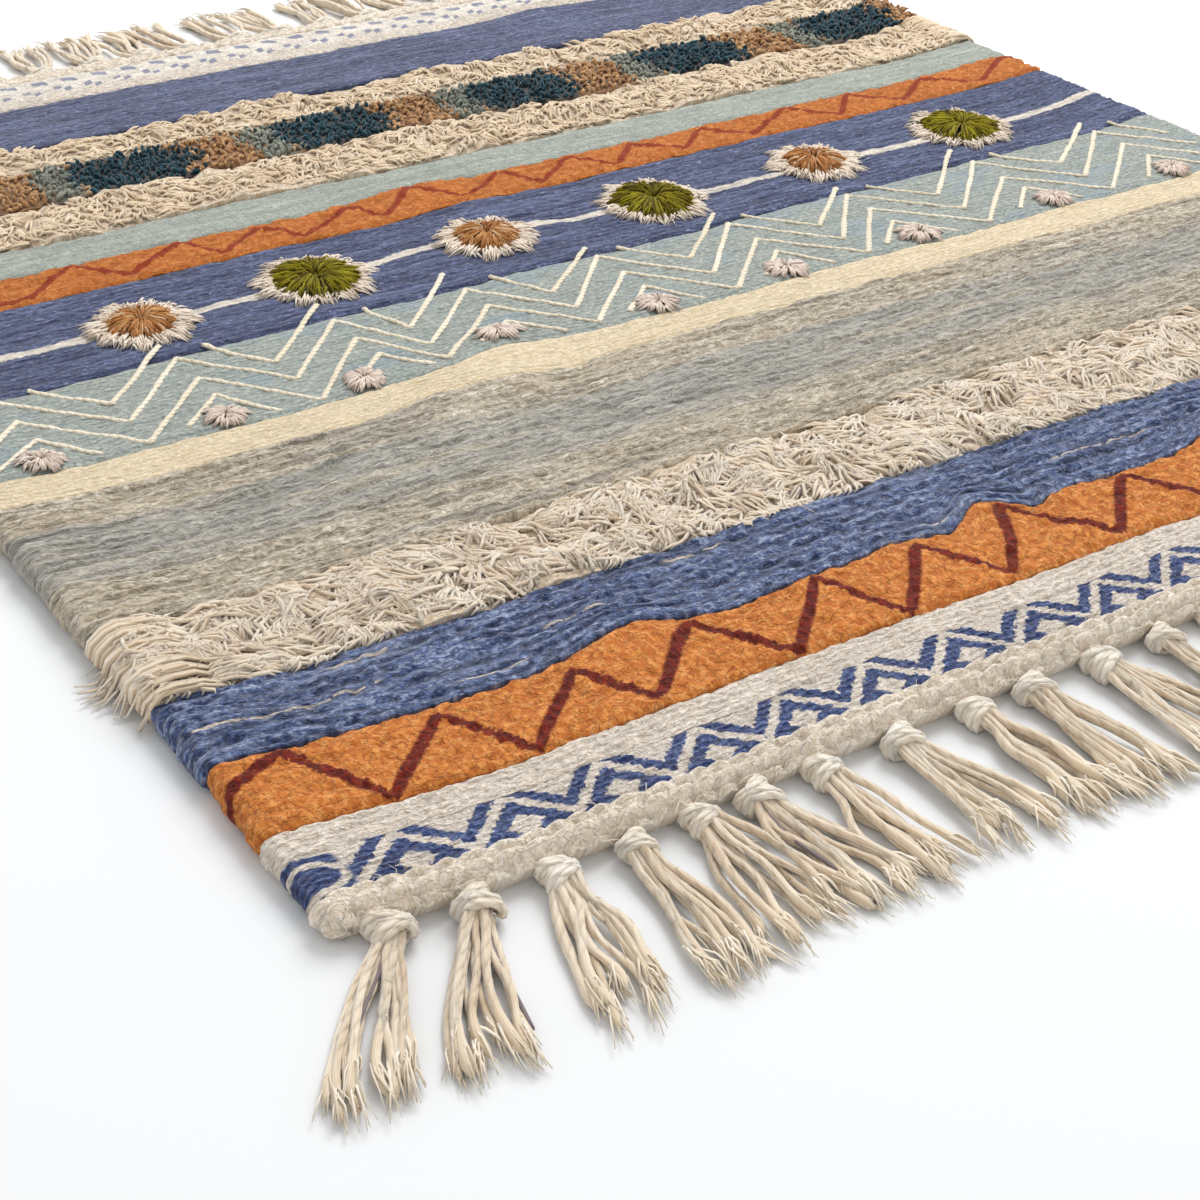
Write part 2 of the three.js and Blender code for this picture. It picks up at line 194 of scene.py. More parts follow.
class Yarn:
    """The material of one kind of yarn. Its places come from a mesh attribute."""

    def __init__(self, name):
        self.material = bpy.data.materials.new(name)
        self.material.use_nodes = True
        self.tree = self.material.node_tree
        self.tree.nodes.clear()

    def node(self, kind, settings=None, inputs=None, output=0):
        made = self.tree.nodes.new(kind)
        for key, value in (settings or {}).items():
            setattr(made, key, value)
        for key, value in (inputs or {}).items():
            if isinstance(value, Value):
                self.tree.links.new(value.socket, made.inputs[key])
            else:
                made.inputs[key].default_value = value
        return Value(self, made.outputs[output]) if len(made.outputs) else made

    def places(self, attribute):
        """The three numbers of a mesh attribute."""
        vector = self.node("ShaderNodeAttribute", {"attribute_name": attribute}, {}, "Vector")
        return [self.node("ShaderNodeSeparateXYZ", {}, {0: vector}, axis) for axis in range(3)]

    def noise(self, x, y, z=0.0, detail=2.0):
        """Cloudy values around 0.5, one cloud for each unit of x, y and z."""
        vector = self.node("ShaderNodeCombineXYZ", {}, {0: x, 1: y, 2: z})
        return self.node("ShaderNodeTexNoise", {}, {"Vector": vector, "Scale": 1.0, "Detail": detail})

    def mix(self, share, first, second):
        return self.node("ShaderNodeMix", {"data_type": "RGBA"}, {0: share, 6: first, 7: second}, 2)

    def bent(self, value, points):
        """The height over a value from 0 to 1, along straight lines between the points."""
        made = self.node("ShaderNodeFloatCurve", {}, {1: value})
        mapping = made.socket.node.mapping
        curve = mapping.curves[0]
        curve.points[0].location = points[0]
        curve.points[1].location = points[-1]
        for place in points[1:-1]:
            curve.points.new(*place)
        for point in curve.points:
            point.handle_type = "VECTOR"
        mapping.update()
        return made

    def finish(self, colour, height, depth, sheen=0.25, soft=0.0):
        """Closes the material: wool that scatters light, with its fine relief as bump. soft is how much of
        the light goes through the fibres."""
        bump = self.node("ShaderNodeBump", {}, {"Height": height, "Distance": depth, "Strength": 1.0})
        wool = {"Base Color": colour, "Normal": bump, "Roughness": 0.92, "Specular IOR Level": 0.15}
        wool |= {"Sheen Weight": sheen, "Sheen Roughness": 0.5, "Subsurface Weight": soft}
        wool |= {"Subsurface Radius": (1.0, 0.9, 0.8), "Subsurface Scale": 0.0015}
        surface = self.node("ShaderNodeBsdfPrincipled", {}, wool)
        self.node("ShaderNodeOutputMaterial", {}, {"Surface": surface})
        return self.material


class Weave(Yarn):
    """A yarn on a stripe: a and d are the place, high is 1 on the yarn and 0 in the grooves."""

    def __init__(self, name, dark, base, light, streak=0.40, grain=(430, 700)):
        super().__init__(name)
        dark, base, light = paint(*dark), paint(*base), paint(*light)
        self.a, self.d, self.high = self.places("weave")
        cloud = self.noise(self.a * 34, self.d * 260, 0.0, 3.0)
        clump = self.noise(self.a * grain[0], self.d * grain[1], 4.0, 2.0)
        self.fibre = self.noise(self.a * grain[0] * 2.4, self.d * grain[1] * 2.4, 9.0, 3.0)
        self.tone = cloud * streak + clump * (0.7 - streak) + self.fibre * 0.3
        colour = self.mix(self.tone.step(0.42, 0.53), dark, base)
        self.colour = self.mix(self.tone.step(0.51, 0.61), colour, light)
        parting = self.noise(self.a * grain[0] * 0.4, self.d * grain[1] * 0.9, 15.0, 2.0)
        self.gaps = (1 - abs(parting - 0.5).step(0.002, 0.030)) * (1 - self.fibre.step(0.50, 0.62))
        stray = self.noise(self.a * grain[0] * 0.7, self.d * grain[1] * 1.3, 25.0, 1.0)
        self.hairs = (1 - abs(stray - 0.52).step(0.0, 0.016)) * clump.step(0.40, 0.55)
        self.dark, self.light = dark, light
        # deep is the colour of painted shade: the dark yarn at 0.42 of its light.
        self.deep = tuple(part * 0.42 for part in dark[:3]) + (1.0,)
        self.relief = clump * 0.45 + self.fibre * 0.35 + self.hairs * 0.2 - self.gaps * 0.25

    def lay(self, share, colour):
        """Another colour over the first where the share is 1."""
        self.colour = self.mix(share, self.colour, colour)

    def rows(self, pitch, bead, dark, seed=0.0):
        """The rows of weft: ridges parted by broken grooves, lumpy along each row. dark is how much painted
        shade is laid in the grooves; the highest lumps get a painted highlight at 0.6 of that.
        """
        place = self.node("ShaderNodeAttribute", {"attribute_name": "rows"}, {}, "Fac") / pitch
        place = place + (self.noise(self.a * 90, self.d * 60, seed, 2.0) - 0.5) * 1.3
        across = place.fraction()
        ridge = 1 - abs(across * 2 - 1)
        lumps = self.noise(self.a / bead, self.d / pitch * 1.4, seed, 2.0)
        uneven = ridge * 0.7 + (lumps - 0.5) * 2.6
        self.lay((1 - uneven.step(-0.4, 0.35)) * dark, self.deep)
        self.lay(uneven.step(0.6, 1.2) * dark * 0.6, self.light)
        self.relief = self.relief * 0.7 + uneven.step(-0.5, 1.2) * 0.6

    def close(self, depth=0.0012, sheen=0.25, shadow=0.45, gaps=0.35, hairs=0.35):
        """Painted shade in the grooves and in the gaps between fibres, a painted highlight on stray hairs.
        """
        self.lay(self.hairs * hairs, self.light)
        self.lay(self.gaps * gaps, self.deep)
        self.lay((1 - self.high).step(0.35, 1.0) * shadow, self.deep)
        return self.finish(self.colour, self.relief, depth, sheen)


def sloped(a, d):
    """How far along the warp a row of weft lies. Rows bend a little and climb at the selvedges."""
    return d + 0.0006 * patches(a / 0.035, d / 0.012, 3) + 0.35 * np.maximum(np.abs(a) - 0.296, 0)


def weft(a, d, pitch, bead, seed):
    """The relief of rows of weft, from 0 in the grooves to 1 on the beads of yarn."""
    row = np.floor(sloped(a, d) / pitch)
    across = sloped(a, d) / pitch - row
    ridge = np.sqrt(np.maximum(1 - (2 * across - 1) ** 2, 0))
    along = a / bead + 0.5 * np.mod(row, 2) + 0.45 * patches(a / 0.013, row, seed + 1)
    beads = 0.5 + 0.5 * np.cos(2 * np.pi * along)
    size = 0.78 + 0.22 * patches(a / 0.010, row * 1.7, seed + 2)
    return ridge * size * (0.62 + 0.38 * beads)


def stripe(
    name, start, end, height, step, relief, material,
    near=(0.0016, 0.0009), far=(0.0016, 0.0009), tuck=(0, 0),
):
    """A stripe from start to end along the warp. step is its mesh along the weft and the warp, relief gives
    the heights over its places, near and far are how deep and how far down its two edges are rounded, and
    tuck is how far its foot stands back under each of them."""
    radius = height / 2
    flat = HALF_WIDTH - radius
    reach = flat + radius * TURN_UNDER
    form = bmesh.new()
    columns, rows = round(2 * reach / step[0]), round((end - start) / step[1])
    bmesh.ops.create_grid(form, x_segments=columns, y_segments=rows, size=1)
    rim = [edge for edge in form.edges if edge.is_boundary]
    lowered = bmesh.ops.extrude_edge_only(form, edges=rim)["geom"]
    for vertex in lowered:
        if isinstance(vertex, bmesh.types.BMVert):
            vertex.co.z = -1
    feet = [edge for edge in lowered if isinstance(edge, bmesh.types.BMEdge) and edge.is_boundary]
    bmesh.ops.edgeloop_fill(form, edges=feet)
    bmesh.ops.recalc_face_normals(form, faces=form.faces[:])
    for edge in rim + feet:
        edge.smooth = False
    mesh = bpy.data.meshes.new(name)
    form.to_mesh(mesh)
    form.free()
    mesh.shade_smooth()
    co = np.empty(len(mesh.vertices) * 3)
    mesh.vertices.foreach_get("co", co)
    s, t, level = co.reshape(-1, 3).T
    a = s * reach
    d = start + 0.00005 + (t + 1) / 2 * (end - start - 0.0001)
    turn = np.maximum(np.abs(a) - flat, 0) / radius
    rise = relief(a, d) if relief else np.zeros(len(a))
    share = (rise - rise.min()) / max(rise.max() - rise.min(), 1e-9)
    rounded = near[1] * np.maximum(1 - (d - start) / near[0], 0) ** 2
    rounded = rounded + far[1] * np.maximum(1 - (end - d) / far[0], 0) ** 2
    out = radius + rise * np.clip((2.6 - turn) / 0.9, 0, 1) - rounded * np.clip((3.4 - turn) / 0.9, 0, 1)
    x = np.sign(a) * (np.minimum(np.abs(a), flat) + out * np.sin(turn))
    z = radius + out * np.cos(turn)
    foot = np.minimum(np.abs(a), flat) + radius * math.sin(TURN_UNDER) * turn / TURN_UNDER
    low = level < -0.5
    x = np.where(low, np.sign(a) * foot, x)
    z = np.where(low, 0, np.maximum(z, 0.0002))
    right, forward = on_rug(x, d)
    forward = forward + low * np.where(t < 0, tuck[0], -tuck[1])
    mesh.vertices.foreach_set("co", np.stack([right, forward, z], 1).ravel())
    place = mesh.attributes.new("weave", "FLOAT_VECTOR", "POINT")
    place.data.foreach_set("vector", np.stack([a, d, share], 1).ravel())
    rows_of = mesh.attributes.new("rows", "FLOAT", "POINT")
    rows_of.data.foreach_set("value", sloped(a, d))
    mesh.materials.append(material)
    mesh.update()
    piece = bpy.data.objects.new(name, mesh)
    bpy.context.collection.objects.link(piece)
    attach(piece, "root")
    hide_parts("cloth")
    return piece


def heading_relief(a, d):
    """Rows of thick yarn twined together, their lumps slanting one way and then the other."""
    place = sloped(a, d) / 0.0044
    row = np.floor(place)
    lean = np.where(np.mod(row, 2) > 0.5, 0.5, -0.5)
    along = a / 0.0076 + lean * (place - row) + 0.35 * patches(a / 0.02, row, 5)
    lumps = np.abs(np.sin(np.pi * along)) ** 0.7
    ridge = np.sqrt(np.maximum(1 - (2 * (place - row) - 1) ** 2, 0))
    return 0.0027 * ridge * (0.22 + 0.78 * lumps) + 0.0004 * patches(a / 0.0024, d / 0.0020, 6)


HEADING_START = 0.0068
HEADING_END = 0.0165
heading_wool = Weave("heading_wool", (218, 201, 178), (237, 223, 204), (244, 234, 218), 0.2, (520, 640))
heading_wool.rows(0.0034, 0.0030, 0.08, 1.0)
near_heading = stripe(
    "near_heading", HEADING_START, HEADING_END, 0.0084, (0.0010, 0.0007), heading_relief,
    heading_wool.close(0.0014, 0.5, 0.55, 0.0, 0.3),
    (0.0042, 0.0052), (0.0014, 0.0007), (0.0030, 0),
)

# The near border: blue wool with an off-white zigzag and notches, in tapestry weave. Towards each selvedge
# the zigzag ends and the two colours turn round in arcs.
BORDER_END = 0.0345
BORDER_ROW = 0.0026
BORDER_PITCH = 0.0312
BORDER_PEAK = -0.2718
PEAK_D = 0.0338
NOTCH_D = 0.0205
ARC_X, ARC_D = 0.2985, 0.0240


def border_relief(a, d):
    return 0.0010 * weft(a, d, BORDER_ROW, 0.0036, 11) + 0.0004 * patches(a / 0.0024, d / 0.0018, 12)


border_wool = Weave("border_wool", (30, 44, 88), (50, 70, 122), (104, 122, 166), 0.2, (480, 720))
ragged = border_wool.noise(border_wool.a * 620, border_wool.d * 620, 2.0, 3.0) - 0.5
bend = border_wool.noise(border_wool.a * 30, 0.0, 5.0, 0.0) - 0.5
turns = ((border_wool.a - BORDER_PEAK + bend * 0.004) / BORDER_PITCH + 0.5).fraction()
from_peak = abs(turns - 0.5) * BORDER_PITCH
over = (border_wool.d - PEAK_D + from_peak * 1.03) * 0.70 + ragged * 0.0042
notch = from_peak / 0.0062 + abs(border_wool.d - NOTCH_D) / 0.0052 + ragged * 0.9
white = (1 - abs(over).step(0.0011, 0.0018)).most(over.step(0.0050, 0.0058)).most(1 - notch.step(0.82, 1.05))
edge_x = (abs(border_wool.a) - ARC_X) / 1.7
edge_d = border_wool.d - ARC_D
ring = (edge_x * edge_x + edge_d * edge_d).root() + ragged * 0.0016
arcs = ring.step(0.0050, 0.0057) * (1 - ring.step(0.0068, 0.0075))
arcs = arcs.most(ring.step(0.0096, 0.0104))
at_edge = abs(border_wool.a).step(0.2868, 0.2888)
white = white * (1 - at_edge) + arcs * at_edge
cream_tone = border_wool.mix(border_wool.tone.step(0.40, 0.60), paint(206, 192, 176), paint(232, 222, 210))
border_wool.rows(BORDER_ROW, 0.0026, 0.35, 2.0)
border_wool.lay(white, cream_tone)
# The border's painted shade in grooves and gaps is one warm grey, over the blue and the off-white alike.
border_wool.deep = paint(96, 88, 84)
near_border = stripe(
    "near_border", HEADING_END, BORDER_END, 0.0088, (0.0013, 0.0009), border_relief,
    border_wool.close(0.0016, 0.2, 0.35, 0.0, 0.5), far=(0.0016, 0.0001),
)


# The off-white stripe between the border and the orange pile: wool in plain weft-faced weave, woven on
# without a gap from the border.
WHITE_END = 0.047
WHITE_ROW = 0.0029


def white_relief(a, d):
    return 0.0011 * weft(a, d, WHITE_ROW, 0.0042, 21) + 0.0005 * patches(a / 0.0026, d / 0.0020, 22)


white_wool = Weave("white_wool", (206, 191, 174), (226, 213, 198), (236, 227, 214), 0.2, (460, 640))
white_wool.rows(WHITE_ROW, 0.0030, 0.16, 3.0)
white_stripe = stripe(
    "white_stripe", BORDER_END, WHITE_END, 0.0088, (0.0013, 0.0009), white_relief,
    white_wool.close(0.0016, 0.3, 0.35, 0.0, 0.3), near=(0.0016, 0.0001),
)

# The orange stripe: a low felted pile with a dark red zigzag knotted into it, a little thicker than the
# flat weave beside it. LINE_REACH is how far a drawn line runs on either side of the rug's middle.
ORANGE_END = 0.083
LINE_REACH = 0.33


def zigzag_distance(yarn, points, height):
    """How far a place is from a zigzag, given by its corners as x and d."""
    corners = [((x + LINE_REACH) / (2 * LINE_REACH), d / height) for x, d in points]
    shake = yarn.noise(yarn.a * 640, yarn.d * 640, 7.0, 3.0) - 0.5
    x = (yarn.a + shake * 0.0024 + LINE_REACH) / (2 * LINE_REACH)
    line = yarn.bent(x, corners)
    slope = (yarn.bent(x + 0.004, corners) - yarn.bent(x - 0.004, corners)) * (height / (0.016 * LINE_REACH))
    gap = abs(yarn.d + shake * 0.0042 - line * height)
    return gap / (slope * slope + 1).root()


def pile_relief(a, d):
    fine = patches(a / 0.0019, d / 0.0017, 33)
    broad = patches(a / 0.013, d / 0.010, 32)
    return 0.0007 * patches(a / 0.0036, d / 0.0030, 31) + 0.0006 * fine + 0.0004 * broad


ORANGE_ZIGZAG = [
    (-0.330, 0.048), (-0.306, 0.062), (-0.299, 0.0688), (-0.280, 0.0806), (-0.264, 0.0480),
    (-0.2352, 0.0776), (-0.2202, 0.0486), (-0.1905, 0.0758), (-0.1770, 0.0502), (-0.1458, 0.0780),
    (-0.1278, 0.0476), (-0.0978, 0.0798), (-0.0852, 0.0482), (-0.0570, 0.0780), (-0.0420, 0.0502),
    (-0.0150, 0.0800), (0.0060, 0.0500), (0.0330, 0.0800), (0.0510, 0.0496), (0.0780, 0.0786),
    (0.0960, 0.0498), (0.1230, 0.0798), (0.1410, 0.0492), (0.1680, 0.0792), (0.1860, 0.0498),
    (0.2130, 0.0786), (0.2310, 0.0498), (0.2580, 0.0792), (0.2760, 0.0500), (0.2990, 0.0700),
    (0.3300, 0.0480),
]
orange_wool = Weave("orange_wool", (178, 100, 42), (200, 123, 56), (216, 146, 80), 0.1, (400, 280))
gap = zigzag_distance(orange_wool, ORANGE_ZIGZAG, 0.1)
red = orange_wool.mix(orange_wool.tone.step(0.42, 0.60), paint(80, 12, 4), paint(122, 30, 12))
orange_wool.lay(1 - gap.step(0.0014, 0.0027), red)
orange_stripe = stripe(
    "orange_stripe", WHITE_END, ORANGE_END, 0.0102, (0.0013, 0.0011), pile_relief,
    orange_wool.close(0.0016, 0.08, 0.25, 0.0, 0.25), (0.0026, 0.0014), (0.0026, 0.0014),
)


# The denim stripe: hand-spun blue wool in thick uneven rows, with broken off-white slubs along a few rows.
# It is rougher than its neighbours, and its colour changes from row to row.
DENIM_END = 0.119
DENIM_ROW = 0.0045


def slub_relief(a, d):
    torn = patches(a / 0.008, d / 0.0022, 42)
    fine = patches(a / 0.0030, d / 0.0022, 43)
    return 0.0017 * weft(a, d, DENIM_ROW, 0.0090, 41) + 0.0008 * torn + 0.0006 * fine


def blue_wool(name, seed, dark, base, light, grain=(330, 820)):
    yarn = Weave(name, dark, base, light, 0.3, grain)
    broad = yarn.noise(yarn.a * 10, yarn.d * 120, seed, 3.0)
    yarn.lay(broad.step(0.53, 0.66) * 0.4, yarn.light)
    yarn.lay((1 - broad).step(0.54, 0.66) * 0.5, yarn.dark)
    flecks = yarn.noise(yarn.a * 240, yarn.d * 1100, seed + 3.0, 2.0)
    yarn.lay(flecks.step(0.62, 0.70) * 0.6, paint(172, 176, 196))
    return yarn


# The slubs that show: where each starts and ends across the rug, and its d.
SLUBS = [
    (-0.302, -0.238, 0.0996), (-0.188, -0.160, 0.1002), (0.018, 0.072, 0.0990), (-0.255, -0.226, 0.1135),
    (-0.135, -0.108, 0.1125), (-0.224, -0.196, 0.0885), (-0.052, -0.034, 0.0880), (0.105, 0.160, 0.1065),
    (0.200, 0.246, 0.0940),
]
denim_wool = blue_wool("denim_wool", 3.0, (44, 56, 88), (82, 100, 144), (150, 162, 190), (320, 460))
denim_wool.rows(DENIM_ROW, 0.0060, 0.62, 4.0)
for number, (start, end, slub_d) in enumerate(SLUBS):
    swing = (denim_wool.noise(denim_wool.a * 110, number * 9.0, 1.0, 3.0) - 0.5) * 0.004
    gap = abs(denim_wool.d - slub_d - swing)
    along = denim_wool.a.step(start, start + 0.006) * (1 - denim_wool.a.step(end - 0.006, end))
    broken = denim_wool.noise(denim_wool.a * 190, number * 7.0, 2.0, 2.0).step(0.38, 0.46)
    denim_wool.lay((1 - gap.step(0.0002, 0.0007)) * along * broken * 0.9, paint(220, 204, 186))
denim_stripe = stripe(
    "denim_stripe", ORANGE_END, DENIM_END, 0.0095, (0.0014, 0.0009), slub_relief,
    denim_wool.close(0.0020, 0.25, 0.5, 0.2, 0.5),
)


# The marled stripe: undyed grey and beige wool spun together, so that long streaks of each run along the
# rows, with a blue-grey zone across its middle.
MARLED_START = 0.164
MARLED_END = 0.248
MARLED_ROW = 0.0038


def marled_relief(a, d):
    torn = patches(a / 0.007, d / 0.0020, 52)
    broad = patches(a / 0.015, d / 0.012, 53)
    return 0.0017 * weft(a, d, MARLED_ROW, 0.0080, 51) + 0.0009 * torn + 0.0005 * broad


marled_wool = Weave("marled_wool", (152, 140, 119), (194, 181, 160), (218, 208, 190), 0.3, (300, 460))
long_streak = marled_wool.noise(marled_wool.a * 9, marled_wool.d * 150, 2.0, 3.0)
zone = (marled_wool.d + (long_streak - 0.5) * 0.03).step(0.186, 0.197)
zone = zone * (1 - (marled_wool.d + (long_streak - 0.5) * 0.03).step(0.220, 0.232))
marled_wool.rows(MARLED_ROW, 0.0055, 0.36, 5.0)
marled_wool.lay(zone * 0.5, paint(142, 148, 150))
marled_wool.lay(long_streak.step(0.55, 0.66) * 0.4, paint(198, 182, 154))
marled_wool.lay((1 - long_streak).step(0.55, 0.66) * 0.45, paint(122, 122, 116))
marled_stripe = stripe(
    "marled_stripe", MARLED_START, MARLED_END, 0.0095, (0.0022, 0.0011), marled_relief,
    marled_wool.close(0.0020, 0.3, 0.42, 0.15, 0.35),
)


# The pale yellow stripe: thin even wool, woven finer and flatter than its neighbours. Its edge is woven to
# the marled stripe.
YELLOW_END = 0.269
FINE_ROW = 0.0026


def fine_relief(a, d):
    return 0.0005 * weft(a, d, FINE_ROW, 0.0032, 61) + 0.0004 * patches(a / 0.0034, d / 0.0026, 62)


yellow_wool = Weave("yellow_wool", (204, 184, 149), (219, 201, 168), (229, 216, 190), 0.15, (460, 640))
yellow_wool.rows(FINE_ROW, 0.0036, 0.10, 6.0)
yellow_stripe = stripe(
    "yellow_stripe", MARLED_END, YELLOW_END, 0.009, (0.0026, 0.0014), fine_relief,
    yellow_wool.close(0.0009, 0.25, 0.25, 0.0, 0.2),
)

# The aqua stripe: a pale grey-green ground of thin even wool, faintly clouded with blue, that carries the
# couched zigzag lines and the small tufts.
AQUA_END = 0.329
aqua_wool = Weave("aqua_wool", (132, 141, 137), (155, 161, 154), (180, 184, 173), 0.15, (460, 640))
aqua_wool.rows(FINE_ROW, 0.0036, 0.14, 7.0)
tint = aqua_wool.noise(aqua_wool.a * 26, aqua_wool.d * 60, 11.0, 2.0)
aqua_wool.lay(tint.step(0.52, 0.66) * 0.4, paint(128, 148, 164))
aqua_stripe = stripe(
    "aqua_stripe", YELLOW_END, AQUA_END, 0.009, (0.0027, 0.0016), fine_relief,
    aqua_wool.close(0.0010, 0.25, 0.25, 0.0, 0.25),
)


# The second blue stripe: the denim stripe's wool spun thinner and darker, with an off-white line woven along
# it from rosette to rosette.
ROSETTE_END = 0.4
LINE_ROW = 0.0034


def line_relief(a, d):
    torn = patches(a / 0.006, d / 0.0026, 72)
    return 0.0009 * weft(a, d, LINE_ROW, 0.0075, 71) + 0.0005 * torn


ROSETTE_LINE = [
    (-0.33, 0.3600), (-0.21, 0.3595), (-0.12, 0.3615), (-0.075, 0.3680), (-0.045, 0.3720), (0.0, 0.3640),
    (0.08, 0.3600), (0.20, 0.3595), (0.26, 0.3605), (0.33, 0.3640),
]
line_wool = blue_wool("rosette_wool", 8.0, (44, 52, 84), (70, 81, 118), (112, 122, 158))
line_wool.rows(LINE_ROW, 0.0060, 0.40, 8.0)
corners = [((x + LINE_REACH) / (2 * LINE_REACH), d) for x, d in ROSETTE_LINE]
line_d = line_wool.bent((line_wool.a + LINE_REACH) / (2 * LINE_REACH), corners)
gap = abs(line_wool.d - line_d)
shake = (line_wool.noise(line_wool.a * 400, line_wool.d * 400, 3.0, 2.0) - 0.5) * 0.002
line_wool.lay(1 - (gap + shake).step(0.0018, 0.0028), paint(222, 212, 198))
rosette_stripe = stripe(
    "rosette_stripe", AQUA_END, ROSETTE_END, 0.009, (0.0027, 0.0016), line_relief,
    line_wool.close(0.0014, 0.2, 0.4, 0.1),
)

# The thin orange stripe: the same low felted pile as the wide one, with a finer red zigzag knotted into it.
# Its places are counted from THIN_FOOT, just before the stripe.
THIN_FOOT = 0.38
THIN_END = 0.426
THIN_ZIGZAG = [
    (-0.3300, 0.4060), (-0.2900, 0.4220), (-0.2620, 0.4050), (-0.2232, 0.4046), (-0.1992, 0.4242),
    (-0.1812, 0.4046), (-0.1512, 0.4238), (-0.1416, 0.4052), (-0.1176, 0.4226), (-0.1056, 0.4040),
    (-0.0756, 0.4226), (-0.0672, 0.4060), (-0.0432, 0.4240), (-0.0264, 0.4046), (-0.0024, 0.4230),
    (0.0096, 0.4046), (0.0348, 0.4234), (0.0480, 0.4040), (0.0672, 0.4228), (0.0840, 0.4040),
    (0.1044, 0.4226), (0.1224, 0.4046), (0.1536, 0.4232), (0.1728, 0.4046), (0.1920, 0.4232),
    (0.2112, 0.4046), (0.2352, 0.4232), (0.2592, 0.4040), (0.2928, 0.4232), (0.3300, 0.4060),
]
thin_wool = Weave("thin_orange_wool", (164, 90, 38), (183, 107, 46), (195, 126, 66), 0.2, (330, 300))
thin_wool.d = thin_wool.d - THIN_FOOT
gap = zigzag_distance(thin_wool, [(x, d - THIN_FOOT) for x, d in THIN_ZIGZAG], 0.1)
thin_wool.lay((1 - gap.step(0.0009, 0.0022)) * 0.9, paint(128, 36, 14))
thin_orange = stripe(
    "thin_orange", ROSETTE_END, THIN_END, 0.0098, (0.0026, 0.0015), pile_relief,
    thin_wool.close(0.0012, 0.05, 0.25, 0.05, 0.2), (0.0024, 0.0012), (0.0024, 0.0012),
)

# The sage stripe: plain thin wool in one grey-green, woven as fine and as flat as the yellow and the aqua
# stripes. It lies beside the thin orange stripe.
SAGE_END = 0.452
sage_wool = Weave("sage_wool", (138, 146, 138), (159, 164, 153), (180, 184, 172), 0.35)
sage_stripe = stripe(
    "sage_stripe", THIN_END, SAGE_END, 0.009, (0.0027, 0.0016), fine_relief,
    sage_wool.close(0.0010, 0.25, 0.25, 0.0, 0.25),
)

# The far blue stripe: the same thin hand-spun wool as the rosettes' stripe, a little greyer and without a
# line along it.
FAR_BLUE_START = 0.554
FAR_BLUE_END = 0.603
far_blue_wool = blue_wool("far_blue_wool", 14.0, (52, 58, 88), (76, 85, 120), (112, 121, 154))
far_blue_wool.rows(LINE_ROW, 0.0060, 0.30, 9.0)
far_blue = stripe(
    "far_blue", FAR_BLUE_START, FAR_BLUE_END, 0.0095, (0.0030, 0.0018), line_relief,
    far_blue_wool.close(0.0014, 0.25, 0.4, 0.1),
)

# The far cream stripe: a few rows of the same plain off-white wool as the near one, between the blue and
# the far border.
FAR_CREAM_END = 0.614
far_cream = stripe(
    "far_cream", FAR_BLUE_END, FAR_CREAM_END, 0.009, (0.0026, 0.0013), white_relief, white_wool.material
)

# The far border: off-white wool with small grey-blue blocks woven into it in two rows, each block of one
# row over a gap of the other.
FAR_BORDER_END = 0.635
BLOCK_PITCH = 0.015
BLOCK_ROWS = (0.6185, 0.6290)
far_border_wool = Weave("far_border_wool", (196, 186, 172), (222, 214, 202), (238, 232, 224), 0.3)
cell = (far_border_wool.a / BLOCK_PITCH).fraction()
row_a = 1 - abs(far_border_wool.d - BLOCK_ROWS[0] - (cell - 0.5) * 0.004).step(0.0013, 0.0022)
row_b = 1 - abs(far_border_wool.d - BLOCK_ROWS[1] + (cell - 0.5) * 0.004).step(0.0016, 0.0026)
blocks = abs(cell - 0.5).step(0.20, 0.26)
far_border_wool.lay((row_a * blocks).most(row_b * (1 - blocks)) * 0.85, paint(98, 106, 140))
far_border = stripe(
    "far_border", FAR_CREAM_END, FAR_BORDER_END, 0.009, (0.0026, 0.0013), white_relief,
    far_border_wool.close(0.0006),
)

# The far heading: cream wool twined like the near one, a few rows deep, that ends the cloth before the far
# knots.
CLOTH_END = 0.646
far_heading = stripe(
    "far_heading", FAR_BORDER_END, CLOTH_END, 0.0084, (0.0024, 0.0011), heading_relief,
    heading_wool.material, (0.0016, 0.0009), (0.0042, 0.0052), (0, 0.0030),
)


# The near band of shag: cream wool knotted in by hand, its locks lying over one another like thatch on a
# lumpy ground and combed over both selvedges. This section also has the making of many ends of yarn and of
# a band of shag.
def straight_end(sides, points):
    """One end of yarn, upright and straight: its corners, each face's first place in the list of turns, and
    the turns, which are the corners in their order round the faces."""
    form = bmesh.new()
    bmesh.ops.create_cone(form, cap_ends=True, segments=sides, radius1=1, radius2=1, depth=2)
    upright = [edge for edge in form.edges if abs(edge.verts[0].co.z - edge.verts[1].co.z) > 1]
    bmesh.ops.subdivide_edges(form, edges=upright, cuts=points - 2, use_grid_fill=True)
    bmesh.ops.recalc_face_normals(form, faces=form.faces[:])
    unit = bpy.data.meshes.new("straight_end")
    form.to_mesh(unit)
    form.free()
    co = np.empty(len(unit.vertices) * 3)
    unit.vertices.foreach_get("co", co)
    starts = np.empty(len(unit.polygons), int)
    unit.polygons.foreach_get("loop_start", starts)
    turns = np.empty(len(unit.loops), int)
    unit.loops.foreach_get("vertex_index", turns)
    bpy.data.meshes.remove(unit)
    return co.reshape(-1, 3), starts, turns


